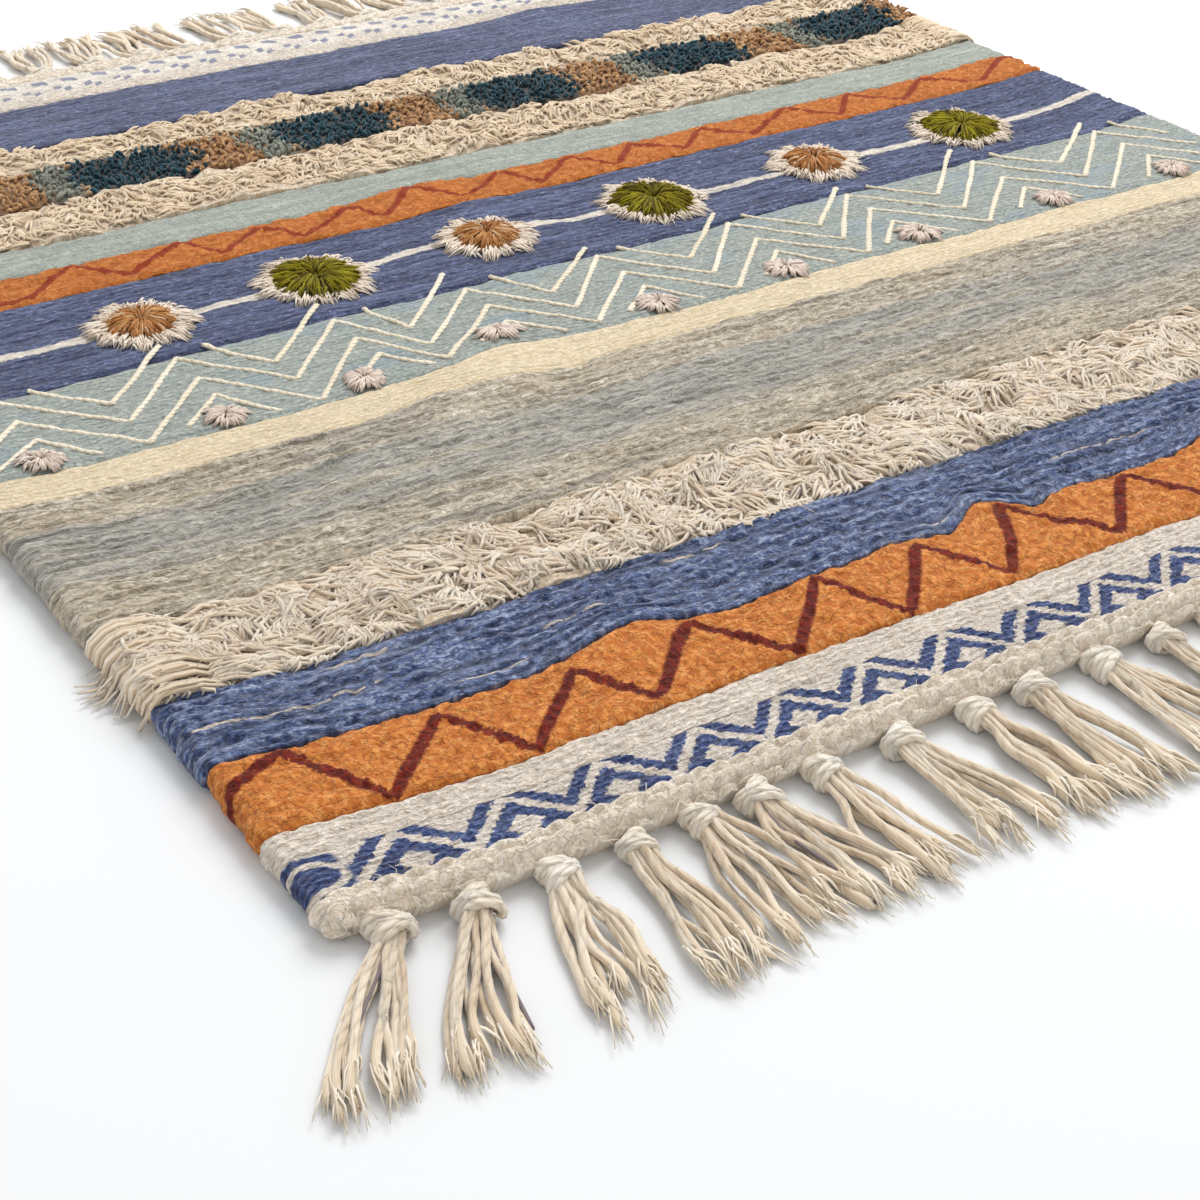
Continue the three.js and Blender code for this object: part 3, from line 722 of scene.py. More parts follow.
def ends(name, paths, radii, sides, across, shade, roots, node, material, flatten=1.0):
    """Many ends of yarn as one mesh, each a copy of the straight one bent along its path. paths are ends x
    points x 3, radii ends x points, across a direction over each end, shade a number for each and roots
    their places as x and d."""
    count, points = paths.shape[:2]
    co, starts, turns = straight_end(sides, points)
    vertices, loops = len(co), len(turns)
    at = np.rint((co[:, 2] + 1) / 2 * (points - 1)).astype(int)
    angle = np.arctan2(co[:, 1], co[:, 0])
    tangent = np.gradient(paths, axis=1)
    tangent /= np.linalg.norm(tangent, axis=2, keepdims=True) + 1e-12
    lengths = np.concatenate(
        [np.zeros((count, 1)), np.cumsum(np.linalg.norm(np.diff(paths, axis=1), axis=2), axis=1)], axis=1
    )
    first = across[:, None, :] - tangent * np.sum(across[:, None, :] * tangent, axis=2, keepdims=True)
    first /= np.linalg.norm(first, axis=2, keepdims=True) + 1e-12
    second = np.cross(tangent, first)
    size = radii[:, at]
    spot = paths[:, at] + first[:, at] * (size * np.cos(angle))[..., None]
    spot = spot + second[:, at] * (size * np.sin(angle) * flatten)[..., None]
    mesh = bpy.data.meshes.new(name)
    mesh.vertices.add(count * vertices)
    mesh.vertices.foreach_set("co", spot.astype(np.float32).ravel())
    mesh.loops.add(count * loops)
    offset = np.arange(count)[:, None]
    mesh.loops.foreach_set("vertex_index", (turns[None, :] + offset * vertices).astype(np.int32).ravel())
    mesh.polygons.add(count * len(starts))
    mesh.polygons.foreach_set("loop_start", (starts[None, :] + offset * loops).astype(np.int32).ravel())
    mesh.update(calc_edges=True)
    mesh.shade_smooth()

    def keep(attribute, numbers):
        spread = np.stack([np.broadcast_to(part, size.shape) for part in numbers], 2)
        held = mesh.attributes.new(attribute, "FLOAT_VECTOR", "POINT")
        held.data.foreach_set("vector", spread.astype(np.float32).ravel())

    keep("end", [np.cos(angle)[None, :], np.sin(angle)[None, :], lengths[:, at]])
    keep("root", [roots[:, :1], roots[:, 1:], shade[:, None]])
    keep("way", [(at / (points - 1))[None, :], 0.0, 0.0])
    mesh.materials.append(material)
    piece = bpy.data.objects.new(name, mesh)
    bpy.context.collection.objects.link(piece)
    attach(piece, "root")
    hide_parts(node)
    return piece


class Strand(Yarn):
    """A yarn on many ends. Its fibres run along each end: cos and sin tell the side of the end, along the
    length from its root, share the same from 0 to 1, and shade is a number for each end."""

    def __init__(self, name, dark, base, light, fibres=2.6, fine=0.35):
        super().__init__(name)
        dark, base, light = paint(*dark), paint(*base), paint(*light)
        self.cos, self.sin, self.along = self.places("end")
        self.x, self.d, self.shade = self.places("root")
        self.share = self.places("way")[0]
        self.fine = self.noise(self.cos * fibres, self.sin * fibres, self.along * 70 + self.shade * 90, 2.0)
        spots = self.noise(self.x * 60, self.d * 70, self.along * 90, 2.0)
        self.tone = self.shade * (0.7 - fine) + self.fine * fine + spots * 0.3
        colour = self.mix(self.tone.step(0.30, 0.47), dark, base)
        self.colour = self.mix(self.tone.step(0.49, 0.64), colour, light)
        self.relief = self.fine

    def lay(self, share, colour):
        self.colour = self.mix(share, self.colour, colour)

    def plied(self, turn, dark, undone=1.0):
        """Two plies twisted together, one whole turn in that length, with that much painted shade in the
        groove between them. Past the share undone they have come apart."""
        phase = self.along * (2 * math.pi / turn) + self.shade * 20
        crest = abs(self.cos * phase.math("COSINE", phase) + self.sin * phase.math("SINE", phase))
        held = 1 - self.share.step(undone, undone + 0.25)
        self.lay((1 - crest.step(0.0, 0.5)) * held * dark, paint(150, 122, 92))
        self.relief = crest.step(0.0, 0.9) * held + self.fine * 0.9

    # Painted shade: each end darkens towards its root, by shadow as a share of the deep colour.
    def close(self, depth=0.0001, sheen=0.2, shadow=0.2, deep=paint(150, 122, 94), soft=0.0):
        self.lay((1 - self.share).step(0.5, 1.0) * shadow, deep)
        return self.finish(self.colour, self.relief, depth, sheen, soft)


def sideways(heading):
    """The level direction across ends that point along their headings."""
    return np.stack([-np.sin(heading), np.cos(heading), np.zeros(len(heading))], 1)


def turned(x, y, out, side, heading):
    """Points that far out and to the side of each root, along its heading."""
    cos, sin = np.cos(heading)[:, None], np.sin(heading)[:, None]
    return x[:, None] + out * cos - side * sin, y[:, None] + out * sin + side * cos


def jittered(start, end, low, high, pitch, rng):
    """Roots of ends on a loose grid, as x and d."""
    x, d = np.meshgrid(np.arange(start + pitch / 2, end, pitch), np.arange(low + pitch / 2, high, pitch))
    x = x + (np.arange(x.shape[0]) % 2)[:, None] * pitch / 2
    x, d = x.ravel(), d.ravel()
    x = x + rng.uniform(-0.45, 0.45, len(x)) * pitch
    d = d + rng.uniform(-0.45, 0.45, len(x)) * pitch
    return np.clip(x, start, end), np.clip(d, low, high)


SHAG_GROUND = 0.0098
SELVEDGE_TURN = 0.2965


def locks(x, d, heading, length, height, bend, points, ground, start, end):
    """The middle lines of ends that rise from their roots and lie down towards their tips over a ground,
    and over the selvedges past it. By the rims of their band they turn along it."""
    steps = np.linspace(0, 1, points) ** 1.1
    lift = np.interp(steps, [0.0, 0.2, 0.5, 0.8, 1.0], [-0.6, 0.7, 1.0, 0.75, 0.1])
    out = length[:, None] * steps
    curl = np.sin(steps * 5.5 + heading[:, None]) - np.sin(heading[:, None])
    side = length[:, None] * bend[:, None] * (steps**2 + 0.25 * curl)
    path_x, path_d = turned(x, d, out, side, heading)
    path_d = path_d + np.maximum(start - path_d, 0) * 0.75 - np.maximum(path_d - end, 0) * 0.75
    z = ground(path_x, path_d) + height[:, None] * lift
    beyond = np.maximum(np.abs(path_x) - SELVEDGE_TURN, 0)
    z = z - beyond * 0.8 - (beyond / 0.006) ** 2 * 0.004
    right, forward = on_rug(path_x, path_d)
    return np.stack([right, forward, np.maximum(z, 0.0015)], 2)


def shag(name, start, end, pitch, split, rise, length, width, points, seed, node, material):
    """The locks of a band of shag, each split in a few ends that fan out. rise, length and width are the
    least and the most of a lock."""
    rng = np.random.default_rng(seed)
    x, d = jittered(-0.2960, 0.2960, start + 0.0022, end - 0.0022, pitch, rng)
    count = len(x)
    heading = 2.8 * patches(x / 0.021, d / 0.017, seed) + 1.2 * patches(x / 0.008, d / 0.007, seed + 9) - 2.2
    heading = heading + rng.normal(0, 0.5, count)
    height = rise[0] + (rise[1] - rise[0]) * rng.uniform(0, 1, count)
    room = np.where(np.sin(heading) > 0, end - d, d - start)
    heading = np.arctan2(np.sin(heading) * np.clip(room / 0.013, 0.12, 1), np.cos(heading))
    rim = np.minimum(d - start, end - d)
    height = height * np.clip(0.6 + rim / 0.012, 0, 1)
    long = rng.uniform(length[0], length[1], count)
    past = np.maximum(start - d - long * np.sin(heading), d + long * np.sin(heading) - end)
    long = long * np.clip(1 - np.maximum(past - 0.0015, 0) / 0.010, 0.5, 1)
    bend = rng.normal(0, 0.34, count)
    shade = 0.5 + 0.28 * patches(x / 0.012, d / 0.010, seed + 4) + rng.normal(0, 0.12, count)
    x, d, heading, height, long, bend, shade = (
        np.repeat(part, split) for part in (x, d, heading, height, long, bend, shade)
    )
    count = len(x)
    x = x + rng.normal(0, 0.0010, count)
    d = np.clip(d + rng.normal(0, 0.0010, count), start + 0.0015, end - 0.0015)
    fan = np.tile(np.linspace(-0.35, 0.35, split), count // split)
    heading = heading + fan + rng.normal(0, 0.09, count)
    long = long * rng.uniform(0.75, 1.1, count)
    height = height * rng.uniform(0.6, 1.2, count)
    bend = bend + rng.normal(0, 0.12, count)

    def ground(at_x, at_d):
        inside = np.clip(np.minimum(at_d - start, end - at_d) / 0.005, 0, 1)
        return SHAG_GROUND + inside * ground_relief(at_x, at_d)

    path = locks(x, d, heading, long, height, bend, points, ground, start, end)
    taper = np.interp(np.linspace(0, 1, points), [0.0, 0.3, 0.7, 1.0], [0.8, 1.0, 0.9, 0.35])
    radii = rng.uniform(width[0], width[1], count)[:, None] * taper
    shade = np.clip(shade + rng.normal(0, 0.16, count), 0, 1)
    roots = np.stack([x, d], 1)
    return ends(name, path, radii, 3, sideways(heading), shade, roots, node, material, 0.7)


def combed(name, start, end, foot, count, width, seed, node, material):
    """Long locks combed over both selvedges of a band, down to the floor."""
    rng = np.random.default_rng(seed)
    side = np.where(np.arange(2 * count) % 2, 1.0, -1.0)
    d = start + 0.001 + (end - start - 0.002) * rng.uniform(0, 1, 2 * count)
    level = rng.uniform(0, 1, 2 * count)
    reach = np.array([-0.018, -0.012, -0.006, -0.0010, 0.0026, 0.0036, 0.0022])
    drop = np.array([-0.0010, 0.0022, 0.0026, 0.0014, -0.0018, -0.0052, -0.0086])
    stretch = rng.uniform(0.75, 1.15, 2 * count)[:, None]
    out = 0.2970 + np.where(reach < 0, reach * stretch, reach * (0.4 + level[:, None]))
    swing = 0.004 * patches(d / 0.006, side * 5, seed + 2) + rng.normal(0, 0.0012, 2 * count)
    swing = swing[:, None] * np.linspace(0, 1, 7)
    along = d[:, None] + swing + 0.0012 * patches(np.linspace(0, 3, 7)[None, :], d[:, None] / 0.004, seed)
    right, forward = on_rug(side[:, None] * out, along)
    z = foot + (0.3 + 0.7 * level[:, None]) * np.maximum(drop, 0) + np.minimum(drop, 0)
    path = np.stack([right, forward, np.maximum(z, 0.0012)], 2)
    taper = np.array([0.6, 1.0, 1.1, 1.1, 1.0, 0.8, 0.4])
    radii = rng.uniform(width[0], width[1], 2 * count)[:, None] * taper
    across = np.tile([0.0, 1.0, 0.0], (2 * count, 1))
    shade = np.clip(rng.normal(0.55, 0.2, 2 * count), 0, 1)
    roots = np.stack([side * 0.29, d], 1)
    return ends(name, path, radii, 3, across, shade, roots, node, material, 0.7)


def stray_hairs(name, start, end, foot, count, seed, node, material, long=(0.004, 0.010), high=0.0035):
    """Single fibres that stand off the locks."""
    rng = np.random.default_rng(seed)
    x = rng.uniform(-0.2985, 0.2985, count)
    d = rng.uniform(start, end, count)
    heading = rng.uniform(0, 2 * np.pi, count)
    long = rng.uniform(long[0], long[1], count)
    steps = np.linspace(0, 1, 3)
    bend = rng.normal(0, 0.5, count)
    right, forward = on_rug(x, d)
    out = long[:, None] * steps
    side = long[:, None] * steps**2 * bend[:, None]
    path = np.empty((count, 3, 3))
    path[:, :, 0], path[:, :, 1] = turned(right, forward, out, side, heading)
    top = foot + ground_relief(x, d) + rng.uniform(0.001, high, count)
    path[:, :, 2] = top[:, None] + np.array([-0.002, 0.0010, 0.0004]) * rng.uniform(0.2, 1.6, (count, 1))
    radii = rng.uniform(0.00010, 0.00018, count)[:, None] * np.array([1.0, 1.0, 0.5])
    shade = rng.uniform(0.5, 1, count)
    return ends(name, path, radii, 3, sideways(heading), shade, np.stack([x, d], 1), node, material)


def ground_relief(a, d):
    return 0.0024 * patches(a / 0.012, d / 0.010, 81) + 0.0011 * patches(a / 0.0052, d / 0.0046, 82)


# Painted shade darkens the ends towards their roots: the locks a little, in warm tan, and the fibres by the
# default share.
shag_wool = Strand("shag_wool", (210, 187, 160), (225, 206, 183), (233, 218, 197), 1.6, 0.45)
shag_cream = shag_wool.close(0.0002, 0.7, 0.08, paint(170, 142, 114), 0.45)
fibre_wool = Strand("shag_fibres", (204, 181, 150), (215, 194, 165), (223, 205, 178), 1.0)
fibre_cream = fibre_wool.close(0.0001, 0.4)
ground_wool = Weave("ground_wool", (202, 178, 148), (222, 202, 176), (233, 217, 195), 0.1)
ground_cream = ground_wool.close(0.0016, 0.25, 0.1, 0.0)
near_ground = stripe(
    "near_ground", DENIM_END, MARLED_START, SHAG_GROUND, (0.0024, 0.0021), ground_relief, ground_cream
)
near_shag = shag(
    "near_shag", DENIM_END, MARLED_START, 0.0044, 5, (0.0008, 0.0023), (0.010, 0.0160), (0.0006, 0.0011),
    5, 5, "shag_near", shag_cream,
)
near_combed = combed(
    "near_combed", DENIM_END, MARLED_START, 0.0102, 150, (0.0009, 0.0016), 15, "shag_near", fibre_cream
)
near_hairs = stray_hairs("near_hairs", 0.120, 0.163, 0.0105, 900, 25, "shag_near", fibre_cream)

# The middle and far bands of shag: the same wool as the near one, knotted in with shorter locks on the two
# sides of the figured pile.
FIGURED_START = 0.488
FIGURED_END = 0.524


def narrow_band(name, start, end, step, pitch, count, seed, node):
    """The ground of a narrow band, its locks and the long locks combed over the selvedges."""
    ground = stripe(name + "_ground", start, end, SHAG_GROUND, (step, 0.003), ground_relief, ground_cream)
    pile = shag(
        name + "_shag", start, end, pitch, 3, (0.0008, 0.0019), (0.006, 0.0100), (0.0007, 0.0011), 4, seed,
        node, fibre_cream,
    )
    over = combed(
        name + "_combed", start, end, 0.0100, count, (0.0009, 0.0014), seed + 10, node, fibre_cream
    )
    return ground, pile, over


middle_ground, middle_shag, middle_combed = narrow_band(
    "middle", SAGE_END, FIGURED_START, 0.0034, 0.0044, 60, 6, "shag_mid"
)
far_ground, far_shag, far_combed = narrow_band(
    "far", FIGURED_END, FAR_BLUE_START, 0.0036, 0.0047, 50, 7, "shag_far"
)

# The figured pile between them: teal blocks with pointed ends, parted by brown and grey-sage ones, all in
# short upright ends of wool. CLOTH_TOP is the height at which such ends and cords come out of the weave.
CLOTH_TOP = 0.0092
FIGURED_REPEAT = 0.0985
figured_wool = Strand("figured_wool", (136, 98, 62), (166, 124, 82), (190, 150, 106))
figured_weave = Weave("figured_ground_wool", (140, 100, 62), (168, 124, 80), (190, 148, 104), 0.1)


def figured(yarn, x, d, stray):
    """The blocks of colour over places on the band."""
    middle_d = abs(d - (FIGURED_START + FIGURED_END) / 2)
    repeat = ((x + HALF_WIDTH - 0.0165 + stray) / FIGURED_REPEAT).fraction()
    teal_gap = abs(repeat - 0.5) * FIGURED_REPEAT + middle_d * 0.45 + stray * 0.6
    sage_gap = abs(repeat - 0.155)
    grey = yarn.mix(yarn.tone.step(0.3, 0.7), paint(104, 110, 100), paint(146, 148, 134))
    teal = yarn.mix(yarn.tone.step(0.30, 0.70), paint(10, 40, 52), paint(34, 72, 84))
    yarn.lay(1 - sage_gap.step(0.07, 0.11), grey)
    yarn.lay(1 - teal_gap.step(0.0290, 0.0315), teal)


figured(figured_wool, figured_wool.x, figured_wool.d, (figured_wool.shade - 0.5) * 0.008)
figured(figured_weave, figured_weave.a, figured_weave.d, (figured_weave.fibre - 0.5) * 0.008)
figured_ground = stripe(
    "figured_ground", FIGURED_START, FIGURED_END, SHAG_GROUND, (0.003, 0.003), None,
    figured_weave.close(0.0016),
)
rng = np.random.default_rng(8)
x, d = jittered(-0.2975, 0.2975, FIGURED_START + 0.001, FIGURED_END - 0.001, 0.0026, rng)
count = len(x)
right, forward = on_rug(x, d)
heading = rng.uniform(0, 2 * np.pi, count)
lean = rng.uniform(0.0008, 0.0042, count)
height = rng.uniform(0.0020, 0.0028, count) * (0.95 + 0.35 * patches(x / 0.010, d / 0.010, 88))
steps = np.array([0.0, 0.6, 1.0])
path = np.empty((count, 3, 3))
path[:, :, 0], path[:, :, 1] = turned(right, forward, lean[:, None] * steps, 0, heading)
path[:, :, 2] = CLOTH_TOP + height[:, None] * np.array([-0.2, 0.85, 1.0])
radii = rng.uniform(0.0009, 0.0014, count)[:, None] * np.array([1.0, 1.0, 0.5])
# The figured ends have painted shade towards their roots, in dark grey-brown.
figured_pile = ends(
    "figured_ends", path, radii, 3, sideways(heading), rng.uniform(0, 1, count), np.stack([x, d], 1),
    "pile_figured", figured_wool.close(0.0001, 0.2, 0.1, paint(60, 56, 50)), 0.9,
)

# The couched lines on the aqua stripe: thin cream cords stitched down in four nested zigzags. The outermost
# one is open at its peaks, where its legs run on over the blue stripe, and the innermost shows only peaks.
VALLEYS = [-0.300, -0.234, -0.169, -0.113, -0.049, 0.0155, 0.082, 0.146, 0.217, 0.287]
PEAKS = [-0.266, -0.1995, -0.134, -0.078, -0.0155, 0.050, 0.112, 0.184, 0.2585]
OUTER_LOW, OUTER_HIGH = 0.3055, 0.338
NESTED = [(0.2890, 0.3265), (0.2725, 0.3085)]
INNER_HIGH = 0.2925
LINE_RADIUS = 0.00125
LINE_END = 0.297
rng = np.random.default_rng(9)
lines = []
for left, peak, after in zip(VALLEYS, PEAKS, VALLEYS[1:]):
    lines.append(((left, OUTER_LOW), (peak, OUTER_HIGH + rng.uniform(-0.005, 0.004))))
    lines.append(((peak + rng.uniform(0.010, 0.015), 0.3300), (after, OUTER_LOW)))
    for low, high in NESTED:
        lines.append(((left, low), (peak, high)))
        lines.append(((peak, high), (after, low)))
    lines.append(((peak - 0.0180, 0.2755), (peak, INNER_HIGH)))
    lines.append(((peak, INNER_HIGH), (peak + 0.0145, 0.2715)))
corners = np.array(lines)
corners[:, :, 1] += 0.0012 * patches(corners[:, :, 0] / 0.013, corners[:, :, 1] / 0.007, 90)
corners[:, :, 0] += 0.0012 * patches(corners[:, :, 0] / 0.011, corners[:, :, 1] / 0.009, 93)
corners[:, :, 0] = np.clip(corners[:, :, 0], -LINE_END, LINE_END)
share = np.linspace(-0.012, 1.012, 24)[None, :, None]
flat_path = corners[:, :1] * (1 - share) + corners[:, 1:] * share
flat_path = flat_path + 0.0005 * patches(flat_path[:, :, :1] / 0.005, flat_path[:, :, 1:] / 0.005, 91)
right, forward = on_rug(flat_path[:, :, 0], flat_path[:, :, 1])
step_up = 0.0007 * np.clip((flat_path[:, :, 1] - 0.326) / 0.004, 0, 1)
path = np.stack([right, forward, CLOTH_TOP + step_up], 2)
radii = LINE_RADIUS * (1 + 0.25 * patches(flat_path[:, :, 0] / 0.0022, flat_path[:, :, 1] / 0.0022, 92))
legs = corners[:, 1] - corners[:, 0]
across = np.stack([-legs[:, 1], legs[:, 0], np.zeros(len(legs))], 1)
cord_wool = Strand("cord_wool", (206, 194, 168), (226, 214, 190), (240, 230, 210))
cord_wool.plied(0.0066, 0.10)
couched = ends(
    "couched_lines", path, radii, 5, across, rng.uniform(0.3, 0.7, len(path)), flat_path[:, 0], "cloth",
    cord_wool.close(0.0003, 0.25, 0.0), 0.55,
)

# The rosettes along the second blue stripe: a ring of cream ends that lie outwards in points, round an eye
# of short brown or green ends.
ROSETTES = [
    (-0.198, 0.3590, "brown"), (-0.123, 0.3620, "green"), (-0.044, 0.3640, "brown"),
    (0.036, 0.3615, "green"), (0.123, 0.3610, "brown"), (0.207, 0.3610, "green"),
]
# All the rosette ends have painted shade towards their roots; in the eyes it is darker green and brown.
ring_wool = Strand("rosette_cream", (196, 176, 154), (224, 208, 190), (240, 228, 214))
cream_ends = ring_wool.close()
green_wool = Strand("green_ends", (66, 56, 2), (107, 95, 4), (148, 138, 18))
green_ends = green_wool.close(0.0001, 0.05, 0.4, paint(50, 46, 4))
brown_wool = Strand("brown_ends", (136, 82, 38), (166, 111, 60), (192, 143, 92))
brown_wool.lay(brown_wool.shade.step(0.86, 0.92), paint(208, 182, 152))
brown_ends = brown_wool.close(0.0001, 0.05, 0.3, paint(120, 78, 42))


def splayed(name, x0, d0, spikes, count, inner, outer, dip, lift, dome, width, seed, node, material):
    """Ends that lie outwards from a middle and gather into pointed spikes. inner is where they start, outer
    where the spikes end, dip the share by which the ends between two spikes are shorter, and dome how much
    the middle stands above the rim."""
    rng = np.random.default_rng(seed)
    spike = rng.integers(0, spikes, count)
    tip_turn = (spike + rng.normal(0, 0.16, count) + seed * 0.37) * 2 * np.pi / spikes
    off = rng.uniform(-1, 1, count)
    spread = np.pi / spikes
    reach = outer[0] + (outer[1] - outer[0]) * (0.5 + 0.5 * np.sin(spike * 2.7 + seed))
    reach = reach * (1 - dip * np.abs(off) ** 1.3) * rng.uniform(0.86, 1.06, count)
    start = np.minimum(rng.uniform(inner[0], inner[1], count), reach - 0.003)
    steps = np.array([0.0, 0.18, 0.55, 1.0])
    out = start[:, None] + (reach - start)[:, None] * steps
    turn = tip_turn[:, None] + (off * spread)[:, None] * (1.15 - 0.75 * steps)
    x, d = x0 + out * np.cos(turn), d0 + out * np.sin(turn)
    right, forward = on_rug(x, d)
    rise = np.array([-0.2, 0.9, 0.8, 0.25]) * lift * rng.uniform(0.5, 1.3, count)[:, None]
    rise = rise + dome * np.clip(1 - (out / outer[1]) ** 2, 0, 1)
    path = np.stack([right, forward, CLOTH_TOP + rise], 2)
    radii = rng.uniform(width[0], width[1], count)[:, None] * np.array([0.9, 1.0, 0.9, 0.35])
    roots = np.stack([x[:, 0], d[:, 0]], 1)
    shade = rng.uniform(0.1, 1.0, count)
    return ends(name, path, radii, 3, sideways(tip_turn), shade, roots, node, material, 0.8)


rosettes = []
for number, (x0, d0, eye) in enumerate(ROSETTES, 1):
    green = eye == "green"
    ring = splayed(
        f"ring_{number}", x0, d0, 15, 480, (0.012, 0.022) if green else (0.008, 0.019),
        (0.0230, 0.0265) if green else (0.0205, 0.0245), 0.12, 0.0020, 0.0004, (0.0004, 0.0006),
        100 + number, f"rosette_{number}", cream_ends,
    )
    eye_ends = splayed(
        f"eye_{number}", x0, d0, 17, 400, (0.0003, 0.016 if green else 0.012),
        (0.0190, 0.0215) if green else (0.0140, 0.0165), 0.08, 0.0022, 0.0028, (0.0004, 0.0007),
        200 + number, f"rosette_{number}_eye", green_ends if green else brown_ends,
    )
    rosettes += [ring, eye_ends]

# The small tufts along the near side of the aqua stripe: cream ends knotted in under each peak of the
# lines, each tuft with its x, its d and its size.
TUFTS = [
    (-0.270, 0.2760, 0.0078), (-0.204, 0.2760, 0.0082), (-0.149, 0.2760, 0.0082), (-0.087, 0.2810, 0.0100),
    (-0.021, 0.2760, 0.0090), (0.042, 0.2760, 0.0095), (0.111, 0.2760, 0.0092), (0.186, 0.2760, 0.0085),
    (0.2555, 0.2760, 0.0085),
]
tuft_wool = Strand("tuft_cream", (196, 176, 162), (218, 200, 187), (234, 220, 208))
tuft_ends = tuft_wool.close()
for number, (x0, d0, size) in enumerate(TUFTS, 1):
    tuft = splayed(
        f"small_tuft_{number}", x0, d0, 13, 130, (0.0002, 0.007), (size * 0.90, size * 1.15), 0.02, 0.0014,
        0.0012, (0.0004, 0.0007), 300 + number, f"tuft_{number}", tuft_ends,
    )

# The near fringe: the warp ends gathered in tassels, each tied in a knot under the heading. The strands are
# two plies twisted together, and their tips have come undone on the floor.
FRINGE_LENGTH = 0.057
STRAND_RADIUS = 0.0013
FIBRE_RADII = (0.00009, 0.00016)
# The plies of the strands and knots have painted shade in the grooves between them, and the strands a little
# painted shade towards their roots.
cotton = Strand("fringe_cotton", (188, 164, 134), (214, 195, 169), (231, 216, 194), 3.2, 0.50)
cotton.plied(0.0130, 0.25, 0.55)
cotton.lay(cotton.share.step(0.50, 1.0) * 0.35, paint(226, 206, 174))
fringe_cotton = cotton.close(0.0004, 0.6, 0.1, paint(150, 122, 94), 0.4)
knot_wool = Strand("knot_cotton", (208, 188, 162), (236, 221, 200), (246, 236, 220), 3.4, 0.50)
knot_wool.plied(0.0100, 0.25)
knot_cotton = knot_wool.close(0.0006, 0.6, 0.0, paint(150, 122, 94), 0.4)
frayed_wool = Strand("frayed_cotton", (218, 200, 172), (233, 218, 195), (242, 231, 213), 1.4)
frayed_cotton = frayed_wool.close(0.0001, 0.6, 0.0)
dark_wool = Strand("dark_strand", (92, 84, 90), (118, 108, 112), (146, 136, 134), 2.0)
dark_wool.plied(0.0130, 0.2)
dark_cotton = dark_wool.close()


def loosened(path, each, reach, rng):
    """Single fibres that have come loose from strands: each leaves its strand and runs on beside it."""
    strand = np.repeat(np.arange(len(path)), each)
    at = rng.integers(1, path.shape[1] - 3, len(strand))
    off = rng.normal(0, 1, (len(strand), 3)) * (1.0, 0.4, 0.8)
    off[:, 2] = np.abs(off[:, 2])
    off /= np.linalg.norm(off, axis=1, keepdims=True)
    run = (path[strand, at + 2] - path[strand, at]) * rng.uniform(0.2, 1.0, (len(strand), 1))
    u = np.linspace(0, 1, 4)[None, :, None]
    out = 0.0009 + rng.uniform(0.3, 1.0, (len(strand), 1, 1)) * reach * u**1.4
    return path[strand, at][:, None] + run[:, None] * u + off[:, None] * out


def frayed_tips(name, path, wrap_path, side, rings, node, rng):
    """The fibres at the tips that have come undone, and the single ones off the strands and the knots."""
    hairs = 8 if side < 0 else 3
    last = rings * 3 // 4
    tip = np.repeat(path[:, last], hairs, axis=0)
    ahead = np.repeat(path[:, -1] - path[:, last], hairs, axis=0) * rng.uniform(0.8, 1.55, len(tip))[:, None]
    u = np.linspace(0, 1, 4)[None, :]
    hair = tip[:, None, :] + ahead[:, None, :] * u[:, :, None]
    hair[:, :, 0] += rng.normal(0, 0.0006, (len(tip), 1)) + rng.normal(0, 0.0019, (len(tip), 1)) * u**1.2
    hair[:, :, 1] += 0.4 * rng.normal(0, 0.0019, (len(tip), 1)) * u**1.2
    hair[:, :, 0] += rng.normal(0, 0.0007, (len(tip), 1)) * np.sin(u * rng.uniform(3, 6, (len(tip), 1)))
    bow = rng.uniform(-0.0008, 0.0024, len(tip))[:, None] * np.sin(u * 3.14)
    hair[:, :, 2] = np.maximum(hair[:, :, 2] + bow, 0.0005)
    thick = rng.uniform(0.00018, 0.00042, len(tip))
    each = 3 if side < 0 else 1
    loose = np.concatenate([loosened(path, each, 0.0016, rng), loosened(wrap_path, each, 0.0014, rng)])
    hair = np.concatenate([hair, np.maximum(loose, [-9, -9, 0.0004])])
    thick = np.concatenate([thick, rng.uniform(*FIBRE_RADII, len(loose))])
    radii = thick[:, None] * np.array([1.2, 1.2, 1.0, 0.4])
    up = np.tile([0.0, 0.0, 1.0], (len(hair), 1))
    shade = rng.uniform(0, 1, len(hair))
    roots = hair[:, 0, :2] - [MIDDLE, NEAR]
    return ends(name, hair, radii, 3, up, shade, roots, node, frayed_cotton)


def wound(x0, head, side, way, size, points, rng):
    """The plies wound twice round the head of a tassel, three in each turn: their middle lines and radii."""
    lines, radii = [], []
    angle = np.linspace(-0.5, 2 * np.pi - 0.9, points)
    for wrap, tilt in enumerate((0.42, -0.30)):
        tilt = tilt * way + rng.normal(0, 0.10)
        for ply in range(3):
            wide = (0.0044 + 0.0006 * (ply == 1) + 0.0004 * wrap) * size
            tall = (0.0031 + 0.0005 * (ply == 1)) * size
            x = wide * np.cos(angle)
            z = 0.0041 + tall * np.sin(angle)
            d = head + side * (0.0020 + 0.0016 * ply + 0.0026 * wrap) + tilt * x + rng.normal(0, 0.0002)
            lines.append(np.stack([MIDDLE + x0 + x, NEAR + d, np.maximum(z, 0.0017)], 1))
            radii.append(rng.uniform(0.00115, 0.00150) * size)
    return lines, radii


